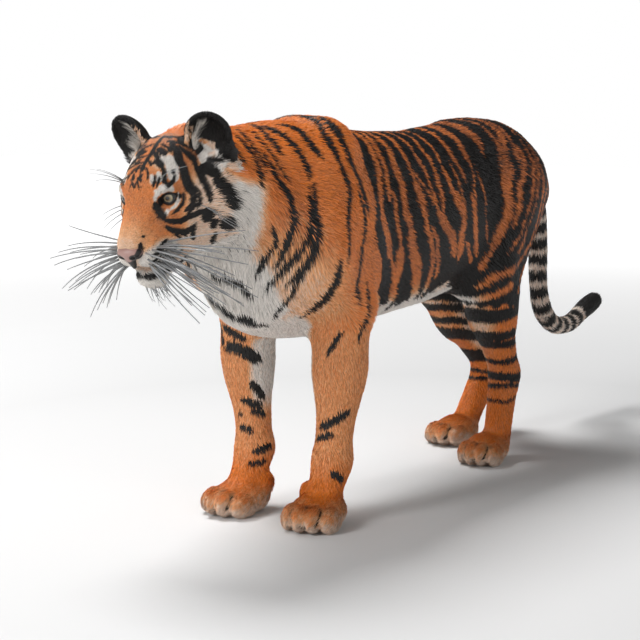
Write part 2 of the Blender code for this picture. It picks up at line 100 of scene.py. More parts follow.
def add_node(material, kind, links=None, **settings):
    """Adds a node. settings are its properties or sockets; links maps its sockets to other nodes' outputs."""
    node = material.node_tree.nodes.new(kind)
    for key, value in settings.items():
        name = key.replace("_", " ")
        if key in ("Color1", "Color2"):
            node.inputs[key].default_value = value
        elif hasattr(node, key):
            setattr(node, key, value)
        elif name in node.inputs:
            node.inputs[name].default_value = value
        else:
            node.inputs[int(key[1:])].default_value = value
    for socket, source in (links or {}).items():
        material.node_tree.links.new(source, node.inputs[socket])
    return node


def new_material(name, **constants):
    """A Principled material with its constant sockets set."""
    material = bpy.data.materials.new(name)
    material.use_nodes = True
    shader = material.node_tree.nodes["Principled BSDF"]
    for key, value in constants.items():
        shader.inputs[key.replace("_", " ")].default_value = value
    return material, shader


FLOOR_HALF = 14.0
floor = sheet_mesh(
    "paper_floor",
    [(x * FLOOR_HALF, y * FLOOR_HALF, 0) for x, y in ((-1, -1), (1, -1), (1, 1), (-1, 1))],
    [(0, 1, 2, 3)],
)
paper, paper_shader = new_material("paper with painted glow", Base_Color=linear("dadada"), Roughness=0.9)
places = add_node(paper, "ShaderNodeTexCoord")
away = add_node(paper, "ShaderNodeVectorMath", operation="LENGTH")
paper.node_tree.links.new(places.outputs["Object"], away.inputs[0])
# Painted light: the paper glows white, from nothing within 1.3 m of the floor's middle to full strength 6 m
# out.
glow = add_node(paper, "ShaderNodeMapRange", {"Value": away.outputs["Value"]}, From_Min=1.3, From_Max=6.0)
paper.node_tree.links.new(glow.outputs[0], paper_shader.inputs["Emission Strength"])
paper_shader.inputs["Emission Color"].default_value = linear("ffffff")
floor.data.materials.append(paper)

scene = bpy.context.scene
scene.view_settings.view_transform = "Standard"
room = bpy.data.worlds.new("white room")
room.use_nodes = True
looks_at = room.node_tree.nodes.new("ShaderNodeTexCoord")
height = room.node_tree.nodes.new("ShaderNodeSeparateXYZ")
walls = room.node_tree.nodes.new("ShaderNodeValToRGB")
walls.color_ramp.elements[0].position, walls.color_ramp.elements[0].color = 0.08, linear("ffffff")
walls.color_ramp.elements[1].position, walls.color_ramp.elements[1].color = 0.35, linear("666666")
room.node_tree.links.new(looks_at.outputs["Generated"], height.inputs[0])
room.node_tree.links.new(height.outputs["Z"], walls.inputs["Fac"])
room.node_tree.links.new(walls.outputs["Color"], room.node_tree.nodes["Background"].inputs["Color"])
room.node_tree.nodes["Background"].inputs["Strength"].default_value = 1.0
scene.world = room


def turned_to(place, aim):
    """The matrix of a thing at place whose -Z axis points at aim."""
    back = np.subtract(place, aim) / np.linalg.norm(np.subtract(place, aim))
    right = np.cross((0, 0, 1), back)
    right /= np.linalg.norm(right)
    matrix = np.eye(4)
    matrix[:3, :3] = np.stack([right, np.cross(back, right), back], axis=1)
    matrix[:3, 3] = place
    return Matrix(matrix.tolist())


def soft_lamp(name, place, aim, power, width):
    lamp = bpy.data.lights.new(name, "AREA")
    lamp.energy, lamp.size = power, width
    obj = bpy.data.objects.new(name, lamp)
    obj.matrix_world = turned_to(place, aim)
    scene.collection.objects.link(obj)


soft_lamp("top lamp", (-1.6, -0.2, 3.8), (0.0, 0.0, 0.4), 165.0, 1.6)
soft_lamp("front lamp", (-0.7, -4.2, 2.4), (0.0, -0.2, 0.5), 96.0, 1.5)
soft_lamp("side lamp", (3.6, -1.6, 2.2), (0.0, 0.0, 0.4), 22.0, 2.4)

STOOD_ROUND, STOOD_OFF, STOOD_UP = math.radians(33.0), 3.6, 0.85
LOOKS_ROUND, LOOKS_DOWN = math.radians(35.15), math.radians(7.8)
stood = np.array(
    [STOOD_OFF * math.sin(STOOD_ROUND), TRUNK_MIDDLE - STOOD_OFF * math.cos(STOOD_ROUND), STOOD_UP]
)
looked = np.array(
    [
        -math.sin(LOOKS_ROUND) * math.cos(LOOKS_DOWN),
        math.cos(LOOKS_ROUND) * math.cos(LOOKS_DOWN),
        -math.sin(LOOKS_DOWN),
    ]
)
camera_data = bpy.data.cameras.new("camera")
camera_data.lens, camera_data.sensor_width = 93.94, 36.0
camera = bpy.data.objects.new("camera", camera_data)
camera.matrix_world = turned_to(stood, stood + looked)
scene.collection.objects.link(camera)
scene.camera = camera

# ---------------------------------------------------------------- the head's own frame
# The skull's left, back and up, found from the two eye solids and the nose solid.

EYE_BACK = 0.0075  # the eyes' middles lie this far behind the point midway between the lids
NOSE_AHEAD, NOSE_DOWN = 0.097, 0.050  # of the nose from the eyes' middles


def middle_of(node):
    low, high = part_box(node)
    return (np.array(low) + np.array(high)) / 2


def head_frame():
    """(columns left, back and up, origin): left runs through the eyes, back is turned until the nose fits."""
    eye_left, eye_right = middle_of("eye_left"), middle_of("eye_right")
    left = (eye_left - eye_right) / np.linalg.norm(eye_left - eye_right)
    to_nose = middle_of("nose") - (eye_left + eye_right) / 2
    to_nose = to_nose - left * (to_nose @ left)
    to_nose /= np.linalg.norm(to_nose)
    square = np.cross(left, to_nose)
    reach = math.hypot(NOSE_AHEAD, NOSE_DOWN)
    back = (-NOSE_AHEAD * to_nose + NOSE_DOWN * square) / reach
    columns = np.stack([left, back, np.cross(left, back)], axis=1)
    return columns, (eye_left + eye_right) / 2 - back * EYE_BACK


HEAD, HEAD_AT = head_frame()


def in_head(places):
    """World places as (left, ahead, up) in the head's own frame."""
    q = (places - HEAD_AT) @ HEAD
    return q * [1, -1, 1]


def on_left(q):
    """Places with those on the right side mirrored to the left."""
    return np.abs(q) * [1, 0, 0] + q * [0, 1, 1]


def way_from_head(way):
    """A direction (left, ahead, up) in the head's own frame, in the trunk's frame."""
    return (np.asarray(way, float) * [1, -1, 1]) @ HEAD.T * [1, -1, 1]


def from_head(q):
    """Places in the head's own frame as world places."""
    return HEAD_AT + (np.asarray(q, float) * [1, -1, 1]) @ HEAD.T


# ---------------------------------------------------------------- skin
# The hide over the muscles: one closed surface inside the solids by the depth of the coat. The solids'
# distance field is blurred to lose their facets; head and paws are shaped again from rounded forms.

FLESH = [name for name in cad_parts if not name.startswith(("eye_", "nose"))]
STEP = 0.0075  # of the field's grid
BAND = 7  # voxels of distance kept on each side of the surface
FLOOR_GAP = 0.0006  # the soles stop this far above the floor


def mix(a, b, share):
    return a + (b - a) * share


def smooth_step(low, high, x):
    """0 below low, 1 above high, and t*t*(3 - 2t) between."""
    t = np.clip((x - low) / (high - low), 0.0, 1.0)
    return t * t * (3 - 2 * t)


def meet(a, b, blend):
    """The smaller of two distances, rounded over where they are within blend of each other."""
    near = np.maximum(blend - np.abs(a - b), 0.0) / blend
    return np.minimum(a, b) - near * near * blend / 4


def carve(a, b, blend):
    """Distance a with form b cut out of it."""
    return -meet(-a, b, blend)


def egg(p, centre, radii, turn=None):
    """Distance to an ellipsoid: |p/r| (|p/r| - 1) / |p/r^2|. turn's columns are its radii's directions."""
    q = p - np.array(centre)
    if turn is not None:
        q = q @ turn
    inner = np.sqrt(((q / radii) ** 2).sum(-1))
    outer = np.sqrt(((q / np.square(radii)) ** 2).sum(-1))
    return inner * (inner - 1.0) / np.maximum(outer, 1e-9)


def limb(p, a, b, radius_a, radius_b):
    """Distance to a rounded cone from a to b: to the nearest point of its axis, less the radius there."""
    a, line = np.array(a), np.subtract(b, a)
    share = np.clip((p - a) @ line / (line @ line), 0.0, 1.0)
    return np.linalg.norm(p - a - share[:, None] * line, axis=1) - mix(radius_a, radius_b, share)


EYE_SIDE, EYE_RADIUS = 0.0435, 0.0150
LID = 0.0016  # thickness of the lids over the eyeball
# The eye's own axes on the tiger's left side: out of the opening, towards the outer corner, and up
EYE_OUT = np.array([0.36, 0.93, 0.06]) / np.linalg.norm([0.36, 0.93, 0.06])
EYE_OUTER = np.cross([-0.16, 0.0, 1.0], EYE_OUT)
EYE_OUTER = -EYE_OUTER / np.linalg.norm(EYE_OUTER)
EYE_UP = np.cross(EYE_OUTER, EYE_OUT)
EYE_UP = EYE_UP * np.sign(EYE_UP[2])
# The opening's half width, and its height above and below its middle
LID_HALF, LID_TOP, LID_BOTTOM = 0.0125, 0.0080, 0.0078


def opening(p):
    """How far a place is outside the almond between the lids, in the eye's own plane (negative inside)."""
    q = p - [EYE_SIDE, -EYE_BACK, 0.0]
    across, up = q @ EYE_OUTER, q @ EYE_UP
    share = np.clip(across / LID_HALF, -1.0, 1.0)
    height = np.where(up > 0, LID_TOP, LID_BOTTOM) * (1 - share**2) ** 0.8
    return np.maximum(np.abs(up) - height, np.abs(across) - LID_HALF)


EAR_OPENS = np.array([0.31, 0.95, 0.0])  # the way the left ear's cup opens
EAR_SKIN = 0.012  # hide this near to the cup's form belongs to the ear


def ear_form(p):
    """An upright oval cup, open to the front and a little outwards."""
    root, tip = np.array([0.072, -0.116, 0.036]), np.array([0.096, -0.112, 0.100])
    upward = (tip - root) / np.linalg.norm(tip - root)
    side = np.cross(EAR_OPENS, upward)
    side /= np.linalg.norm(side)
    turn = np.stack([side, np.cross(upward, side), upward], axis=1)
    middle = mix(root, tip, 0.45)
    cup = egg(p, middle, (0.046, 0.024, 0.051), turn)
    cup = meet(cup, egg(p, (0.086, -0.134, 0.024), (0.033, 0.031, 0.042)), 0.015)
    hollow = egg(p, middle + EAR_OPENS * 0.0215 + [0, 0, 0.003], (0.0350, 0.0290, 0.040), turn)
    return carve(cup, hollow, 0.004)


LIP = (  # where the lips meet, from the middle to the corner of the mouth, and half the groove's width
    ((0, 0.082, -0.104), 0.0016),
    ((0.022, 0.070, -0.111), 0.0022),
    ((0.038, 0.050, -0.117), 0.0026),
    ((0.048, 0.026, -0.119), 0.0024),
    ((0.060, 0.008, -0.105), 0.0016),
)


MUZZLE_REACH = 0.008  # how far the muzzle is drawn out ahead of the plain forms


def drawn_back(q):
    """Head places with the muzzle's reach taken off, where the plain forms and the face's strokes stand."""
    p = q * 1.0
    p[:, 1] -= MUZZLE_REACH * smooth_step(0.020, 0.085, q[:, 1])
    return p


def head_form(q):
    """Distance to the head, made of rounded forms in the head's own frame, the same on both sides."""
    p = drawn_back(q)
    p[:, 0] = np.abs(p[:, 0])
    d = egg(p, (0, -0.082, 0.002), (0.074, 0.096, 0.078))  # braincase
    d = meet(d, egg(p, (0, -0.014, 0.020), (0.044, 0.050, 0.034)), 0.025)  # forehead
    d = meet(d, limb(p, (0, 0.020, -0.045), (0, 0.060, -0.068), 0.042, 0.032), 0.025)  # muzzle
    d = meet(d, limb(p, (0.010, 0, 0), (0.0075, 0.080, -0.044), 0.027, 0.0165), 0.02)  # bridge
    d = meet(d, egg(p, (0.027, 0.028, -0.057), (0.021, 0.033, 0.024)), 0.02)  # side of the muzzle
    d = meet(d, egg(p, (0.036, 0.002, -0.078), (0.027, 0.040, 0.028)), 0.02)  # corner of the mouth
    d = meet(d, limb(p, (0.018, 0.034, -0.110), (0.056, -0.070, -0.085), 0.024, 0.044), 0.025)  # jaw
    d = meet(d, egg(p, (0.056, -0.055, -0.040), (0.036, 0.056, 0.048)), 0.025)  # cheek bone
    d = meet(d, egg(p, (0.080, -0.096, -0.064), (0.044, 0.050, 0.070)), 0.03)  # ruff
    d = meet(d, egg(p, (0.036, -0.002, 0.020), (0.019, 0.020, 0.013)), 0.014)  # brow
    d = meet(d, egg(p, (0.040, 0.000, -0.026), (0.022, 0.024, 0.020)), 0.02)  # under the eye
    d = meet(d, ear_form(p), 0.012)
    d = d + mix(0.0025, 0.011, smooth_step(-0.03, -0.12, p[:, 1]) * smooth_step(0.06, -0.03, p[:, 2]))
    chin = egg(p, (0, 0.046, -0.121), (0.024, 0.029, 0.021))
    d = meet(d, chin, 0.006)
    d = meet(d, egg(p, (0.0185, 0.058, -0.073), (0.0235, 0.029, 0.0255)), 0.006)  # whisker pad
    lip = np.full(len(p), 1.0)
    for (start, start_width), (end, end_width) in zip(LIP, LIP[1:]):
        lip = np.minimum(lip, limb(p, start, end, start_width, end_width))
    d = carve(d, lip, 0.004)
    d = carve(d, limb(p, (0, 0.094, -0.078), (0, 0.083, -0.104), 0.0012, 0.0016), 0.005)  # split of the lip
    d = carve(d, egg(p, (EYE_SIDE + 0.003, 0.010, 0.0), (0.0155, 0.014, 0.0105)), 0.008)  # socket
    eyeball = np.linalg.norm(p - [EYE_SIDE, -EYE_BACK, 0.0], axis=1) - EYE_RADIUS
    lids = eyeball - LID - 0.0012 * smooth_step(0.004, 0.0, np.abs(opening(p) - 0.0022))
    d = meet(d, lids, 0.004)
    hole = np.maximum(opening(p), -((p - [EYE_SIDE, -EYE_BACK, 0.0]) @ EYE_OUT))
    return carve(d, np.maximum(hole, -eyeball - 0.003), 0.0012)


FORE_WIDTH, HIND_WIDTH = 0.118, 0.104
HIND_LEFT, HIND_RIGHT = -0.300, -0.447  # how far ahead each hind paw stands
PAW_REACH = 0.16  # a paw's forms lie within this of its middle
PAWS = (  # (left, ahead) of each paw, degrees its toes turn to the left, width
    (0.112, 0.405, 14, FORE_WIDTH),
    (-0.090, 0.395, -4, FORE_WIDTH),
    (0.092, HIND_LEFT, 8, HIND_WIDTH),
    (-0.079, HIND_RIGHT, -6, HIND_WIDTH),
)
PAW_COAT = 0.0022


def in_paw(p, left, ahead, heading):
    """Which places lie near a paw, and those places in the paw's own frame: left, ahead, up."""
    turn = math.radians(heading)
    forward = np.array([math.sin(turn), -math.cos(turn), 0.0])
    side = np.array([math.cos(turn), math.sin(turn), 0.0])
    middle = at(left, ahead, 0.0)
    near = np.nonzero(np.linalg.norm(p - middle, axis=1) < PAW_REACH)[0]
    return near, (p[near] - middle) @ np.stack([side, -forward, [0, 0, 1]], axis=1) * [1, -1, 1]


def crease(q, width, place):
    """Distance to one of the three creases between the toes, from the instep over the front of the paw."""
    top = np.array([place * width * 0.235, 0.034, 0.060])
    return limb(q, top, top + [0, 0.046, -0.052], 0.001, 0.0035)


def paw_form(p):
    """Distance to the four paws: a broad pad, four toes with a crease between, and a dewclaw behind on the
    forepaws.
    """
    d = np.full(len(p), 1.0)
    for left, ahead, heading, width in PAWS:
        near, q = in_paw(p, left, ahead, heading)
        one = egg(q, (0, -0.012, 0.030), (width * 0.455, 0.056, 0.035))
        for place in (-1.5, -0.5, 0.5, 1.5):
            reach, lift = (0.046, 0.028) if abs(place) < 1 else (0.028, 0.024)
            toe = egg(q, (place * width * 0.235, reach, lift), (width * 0.142, 0.035, 0.0265))
            one = meet(one, toe, 0.005)
        for place in (-1.0, 0.0, 1.0):
            one = carve(one, crease(q, width, place), 0.007)
        if width == FORE_WIDTH:
            inner = -math.copysign(0.031, left)
            one = meet(one, egg(q, (inner, -0.044, 0.058), (0.020, 0.021, 0.026)), 0.006)  # dewclaw
        d[near] = np.minimum(d[near], one + PAW_COAT)
    return d


def flesh_field():
    """(values, low corner): the solids' blurred distance field."""
    places, faces, start = [], [], 0
    for name in FLESH:
        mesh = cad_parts[name].data
        mesh.calc_loop_triangles()
        co = np.zeros(len(mesh.vertices) * 3, np.float32)
        mesh.vertices.foreach_get("co", co)
        tri = np.zeros(len(mesh.loop_triangles) * 3, np.int32)
        mesh.loop_triangles.foreach_get("vertices", tri)
        places.append(co.reshape(-1, 3))
        faces.append(tri.reshape(-1, 3) + start)
        start += len(mesh.vertices)
    places, faces = np.concatenate(places), np.concatenate(faces)
    low = places.min(0) - 0.03
    shape = np.ceil((places.max(0) + 0.03 - low) / STEP).astype(int)

    def distances(points, triangles, quads):
        scaled = ((points - low) / STEP).astype(np.float32)
        grid = openvdb.FloatGrid.createLevelSetFromPolygons(
            scaled, triangles=triangles, quads=quads, exBandWidth=float(BAND), inBandWidth=float(BAND)
        )
        values = np.zeros(shape, np.float32)
        grid.copyToArray(values)
        return values * STEP, grid

    seal = 0.35  # voxels: swells the solids until the cuts between them close
    _, parted = distances(places, faces.astype(np.uint32), None)
    shell, quads = parted.convertToQuads(isovalue=seal)
    values, _ = distances(shell * STEP + low, None, quads.astype(np.uint32))
    values += seal * STEP
    for axis in range(3):
        weights = np.exp(-np.arange(-2, 3) ** 2 / 2.0)
        padded = np.pad(values, [(2, 2) if k == axis else (0, 0) for k in range(3)], mode="edge")
        parts = [np.take(padded, range(k, k + shape[axis]), axis=axis) * w for k, w in enumerate(weights)]
        values = sum(parts) / weights.sum()
    return values, low


SOLID_FIELD, FIELD_LOW = flesh_field()


def sampled(places):
    """The solids' field read between its grid's points, by trilinear weights."""
    q = np.clip((places - FIELD_LOW) / STEP, 0, np.array(SOLID_FIELD.shape) - 1.001)
    cell = q.astype(int)
    part = q - cell
    total = np.zeros(len(q))
    for corner in np.ndindex(2, 2, 2):
        weight = np.prod(np.where(corner, part, 1 - part), axis=1)
        total += weight * SOLID_FIELD[tuple((cell + corner).T)]
    return total


def coat_depth(places):
    """How deep the skin lies under the solids: least on the tail, less on legs and paws, most on the throat
    and neck.
    """
    ahead, up = TRUNK_MIDDLE - places[:, 1], places[:, 2]
    depth = np.full(len(places), 0.0045)
    depth += 0.004 * smooth_step(0.42, 0.52, ahead) * smooth_step(0.40, 0.46, up)
    depth -= 0.0025 * smooth_step(0.36, 0.30, up)
    depth -= 0.0040 * smooth_step(-0.60, -0.63, ahead)
    return depth


def skin_field(places):
    """Distance to the skin anywhere: the blurred solids, with the shaped head and paws joined on."""
    q = in_head(places)
    headward = smooth_step(-0.175, -0.10, q[:, 1] - 0.35 * np.minimum(q[:, 2] + 0.10, 0.0))
    headward *= smooth_step(0.50, 0.56, TRUNK_MIDDLE - places[:, 1]) * smooth_step(-0.20, -0.16, q[:, 2])
    d = sampled(places) + coat_depth(places) + 0.007 * headward
    near = np.nonzero((np.abs(q - [0, -0.05, -0.02]) < [0.20, 0.22, 0.20]).all(1))[0]
    d[near] = meet(d[near], head_form(q[near]), 0.010)
    low = np.nonzero(places[:, 2] < 0.11)[0]
    d[low] = meet(d[low] + 0.002 * smooth_step(0.09, 0.05, places[low, 2]), paw_form(places[low]), 0.008)
    return np.maximum(d, FLOOR_GAP - places[:, 2])


def skin_mesh():
    """The field's zero surface on its grid, with the head and paws divided again and set on the surface."""
    values = np.empty(SOLID_FIELD.shape, np.float32)
    across, upward = np.meshgrid(
        *(FIELD_LOW[k] + STEP * np.arange(values.shape[k]) for k in (1, 2)), indexing="ij"
    )
    for i in range(values.shape[0]):
        x = np.full(across.size, FIELD_LOW[0] + STEP * i)
        values[i] = skin_field(np.stack([x, across.ravel(), upward.ravel()], 1)).reshape(across.shape)
    grid = openvdb.FloatGrid(background=0.1)
    grid.copyFromArray(values)
    points, quads = grid.convertToQuads(isovalue=0.0)
    skin = sheet_mesh("skin", points * STEP + FIELD_LOW, quads)
    shape = bmesh.new()
    shape.from_mesh(skin.data)

    def divided(wanted):
        shape.verts.ensure_lookup_table()
        places = np.array([v.co for v in shape.verts])
        chosen = set(np.nonzero(wanted(places))[0].tolist())
        edges = [e for e in shape.edges if e.verts[0].index in chosen and e.verts[1].index in chosen]
        bmesh.ops.subdivide_edges(shape, edges=edges, cuts=1, use_grid_fill=True)
        shape.verts.index_update()

    def on_head(places):
        q = in_head(places)
        return (np.abs(q - [0, -0.05, -0.02]) < [0.17, 0.15, 0.16]).all(1) & (q[:, 1] > -0.155)

    def on_face(places):
        q = np.abs(in_head(places) - [0, 0.03, -0.04])
        return (q < [0.062, 0.085, 0.085]).all(1)

    def round_eyes(places):
        q = in_head(places)
        return np.linalg.norm(np.abs(q) * [1, 0, 1] + q * [0, 1, 0] - [EYE_SIDE, 0.004, 0.0], axis=1) < 0.021

    for wanted in (lambda p: on_head(p) | (p[:, 2] < 0.085), on_face, round_eyes):
        divided(wanted)
        shape.verts.ensure_lookup_table()
        places = np.array([v.co for v in shape.verts])
        moving = np.nonzero(wanted(places))[0]
        p = places[moving]
        for _ in range(3):
            value = skin_field(p)
            slope = np.stack(
                [skin_field(p + step) - value for step in np.eye(3) * 0.0003], axis=1
            ) / 0.0003
            move = slope * (value / np.maximum((slope**2).sum(1), 0.2))[:, None]
            far = np.linalg.norm(move, axis=1, keepdims=True)
            p = p - move * np.minimum(1.0, 0.003 / np.maximum(far, 1e-9))
        for index, place in zip(moving.tolist(), p.tolist()):
            shape.verts[index].co = place
    shape.to_mesh(skin.data)
    shape.free()
    return skin


skin = skin_mesh()
skin.data.shade_smooth()

# ---------------------------------------------------------------- markings
# Black stripes are strokes laid on the hide, in millimetres: left, ahead and up, or only ahead and up where a
# stripe runs right round a flank or a leg. Beside them stand how white and how brown the coat's ground is.


def ripple(p, size, seed):
    """Smooth noise of about -1 to 1: sines along nine seeded directions, in waves about size metres long."""
    chance = np.random.default_rng(seed)
    waves = chance.normal(size=(9, 3)) * 2 * math.pi / size / 1.7
    return np.sin(p @ waves.T + chance.uniform(0, 2 * math.pi, 9)).sum(1) / 4.0


FACE_PAIRED = (  # in the head's frame: half width, then the stroke's points on the left side
    (3.2, (13, -12, 61), (26, -19, 61), (33, -24, 57), (36, -21, 54)),
    (2.6, (9, -5, 58), (16, 2, 54), (20, 10, 47), (21, 16, 40)),
    (7.5, (14, -50, 74), (22, -46, 71), (34, -40, 63)),
    (3.4, (8, -34, 69), (19, -33, 67), (28, -30, 62)),
    (4.2, (19, -21, 63), (29, -25, 59), (38, -19, 51)),
    (4.2, (23, -20, 60), (35, -17, 52), (43, -11, 42)),
    (5.0, (54, -26, 38), (50, -20, 38)),
    (5.2, (55, -25, 34), (58, -14, 26), (54, 4, 24), (47, 3, 33), (41, -12, 43), (36, -19, 53)),
    (3.0, (30, 3, 45), (33, 12, 38), (30, 20, 27)),
    (2.8, (38, 0, 42), (39, 8, 36), (36, 17, 26)),
    (9.5, (28, -72, 74), (44, -62, 62), (54, -48, 47), (62, -45, 32), (67, -34, 16)),
    (10.5, (56, -48, 42), (66, -36, 18), (71, -31, 4), (71, -27, -9)),
    (7.5, (40, -76, 67), (58, -72, 50), (68, -75, 36), (77, -70, 20), (86, -58, 4), (94, -50, -14),
        (96, -40, -38)),
    (12.0, (72, -82, 30), (93, -84, 11), (106, -84, -3)),
    (14.0, (102, -80, 6), (112, -73, -19), (118, -69, -40), (122, -74, -54)),
    (12.0, (116, -61, -65), (108, -50, -76), (102, -50, -92)),
    (6.0, (90, -38, -90), (77, -33, -112)),
    (3.6, (68, -16, 4), (69, -5, -12), (62, 9, -21), (53, 18, -26)),
    (3.8, (73, -24, 2), (79, -18, -12), (78, -9, -22), (69, 4, -30)),
    (4.6, (75, -38, 7), (84, -36, -8), (88, -27, -22), (82, -13, -35)),
    (6.0, (42, 32, -30), (61, 9, -46), (72, -3, -42), (84, -20, -42), (96, -37, -50)),
    (13.0, (84, -24, -44), (97, -38, -62)),
    (5.0, (4, -40, 72), (18, -34, 70), (27, -24, 64)),
    (4.5, (70, -36, 2), (74, -30, -14), (72, -20, -28), (62, -4, -38)),
    (7.0, (92, -44, -66), (84, -34, -82)),
    (3.6, (10, 10, 52), (4, 18, 44), (12, 20, 40)),
    (3.6, (0, -8, 62), (8, -2, 58), (4, 8, 52)),
    (4.6, (3, -88, 76), (24, -86, 74)),
    (5.0, (90, -34, -52), (84, -22, -64)),
    (5.6, (44, 36, -38), (54, 24, -54), (64, 8, -66), (72, -4, -66), (77, -12, -56)),
    (5.4, (74, -10, -60), (71, -2, -72), (70, -1, -87)),
    (2.8, (55, 28, -58), (62, 19, -72)),
    (2.6, (62, 14, -62), (66, 9, -74)),
    (3.8, (27, 70, -34), (27, 71, -39)),
    (5.0, (26, 80, -42), (25, 91, -60)),
    (4.2, (52, 42, -60), (47, 56, -66), (42, 68, -65)),
    (3.9, (49, 50, -74), (36, 80, -72)),
    (3.6, (49, 46, -83), (33, 80, -82)),
    (3.4, (47, 45, -93), (28, 80, -92)),
    (3.0, (56, 30, -78), (50, 40, -86)),
    (3.0, (58, 22, -90), (52, 33, -98)),
    (7.0, (-16, 92, -104), (0, 87, -107), (22, 73, -113), (38, 53, -119), (48, 28, -121), (58, 10, -108)),
    (3.4, (0, 94, -80), (0, 86, -104)),
    (7.5, (28, 26, 4), (33, 29, -8), (39, 27, -22), (44, 26, -32)),
    (5.0, (20, -72, 76), (40, -82, 70), (52, -88, 58)),
    (4.0, (14, -88, 78), (34, -100, 74), (48, -106, 66)),
    (4.0, (12, -112, 74), (34, -122, 68)),
    (15.0, (92, -128, 48), (100, -130, 30), (106, -128, 8)),
    (4.0, (14, -62, 76), (30, -58, 70), (40, -50, 62)),
    (3.2, (6, -20, 64), (14, -16, 62), (20, -8, 57)),
)
FACE_SINGLE = (
    (4.4, (4, -96, 78), (7, -66, 77), (8, -45, 72), (7, -28, 66), (5, -13, 60), (4, 1, 55), (5, 11, 49)),
    (3.4, (4, -60, 77), (-14, -52, 74), (-28, -44, 68)),
    (4.6, (-8, -44, 72), (-18, -38, 69), (-26, -36, 65)),
    (3.2, (5, -30, 67), (-8, -27, 67), (-24, -28, 62), (-36, -28, 54)),
    (3.2, (5, -14, 61), (-10, -14, 61), (-26, -11, 55), (-38, -12, 45)),
    (3.0, (4, -4, 57), (-12, 3, 54), (-25, 8, 46), (-32, 12, 38)),
    (2.2, (-12, 33, 28), (-6, 24, 40), (0, 30, 32), (4, 22, 42), (10, 30, 32), (16, 27, 35)),
)
HIDE_PAIRED = (  # in the trunk's frame
    (8, (38, 568, 776), (75, 571, 746), (106, 587, 714), (122, 593, 682)),
    (8, (70, 536, 751), (115, 548, 704), (138, 534, 664), (145, 528, 622), (134, 534, 575), (104, 535, 527)),
    (5, (12, 540, 786), (48, 545, 770), (84, 556, 738), (108, 566, 706)),
    (4.5, (30, 512, 788), (70, 515, 762), (104, 522, 724), (128, 520, 690)),
    (4.5, (20, 602, 772), (52, 604, 752), (84, 614, 716)),
    (7, (-7, 484, 793), (58, 492, 766), (89, 498, 735)),
    (9, (19, 477, 790), (53, 460, 774), (86, 446, 746), (112, 450, 716), (135, 471, 686)),
    (6, (135, 471, 686), (155, 494, 638), (160, 506, 590), (135, 525, 544), (77, 535, 482)),
    (6, (135, 455, 688), (157, 486, 638), (169, 492, 596), (161, 508, 553), (112, 515, 492)),
    (6.5, (164, 480, 626), (171, 495, 574), (148, 511, 522), (106, 491, 461), (66, 494, 420)),
    (5, (126, 569, 611), (115, 550, 572), (84, 555, 540)),
    (4, (116, 551, 576), (73, 550, 514)),
    (10, (31, 436, 789), (56, 393, 779), (88, 400, 751), (115, 395, 723)),
    (5, (84, 389, 757), (110, 393, 729)),
    (8, (-10, 310, 803), (62, 336, 785), (111, 355, 738), (134, 355, 707), (160, 369, 663), (191, 415, 598),
        (195, 427, 520)),
    (7, (152, 330, 671), (166, 328, 630), (175, 334, 579), (184, 370, 486), (179, 362, 440)),
    (6, (177, 325, 488), (184, 342, 438), (177, 348, 364)),
    (10, (196, 450, 547), (186, 446, 506), (152, 441, 459), (100, 430, 395)),
    (6, (157, 382, 398), (126, 393, 342)),
)
HIDE_SINGLE = (
    (6, (-19, 589, 525), (16, 583, 510), (47, 563, 501), (63, 542, 472)),
    (10, (-65, 543, 476), (-24, 553, 454), (7, 543, 433), (38, 521, 421), (52, 487, 405)),
    (6, (24, 543, 438), (48, 519, 424)),
    (8, (-146, 387, 384), (-104, 392, 368), (-78, 381, 355)),
    (10, (-126, 391, 349), (-80, 379, 335), (-63, 352, 312)),
    (6, (-137, 386, 338), (-91, 386, 332), (-67, 358, 306)),
    (8.5, (-78, 372, 272), (-52, 345, 232)),
    (8, (-100, 376, 236), (-60, 349, 219)),
    (5, (-107, 374, 205), (-95, 376, 200)),
    (7.5, (-78, 370, 212), (-46, 340, 200)),
    (7, (-105, 376, 178), (-70, 372, 168)),
    (7.5, (-72, 375, 126), (-45, 338, 138)),
    (6.5, (-76, 382, 102), (-48, 354, 108)),
    (8, (96, 377, 196), (135, 372, 216), (156, 350, 238)),
    (7.5, (90, 375, 173), (131, 373, 190)),
    (7.5, (131, 386, 114), (154, 364, 94)),
)
FLANK = (  # ahead and up, on both sides of the shoulder
    (9.5, (308, 815), (317, 750), (311, 695), (313, 610)),
)
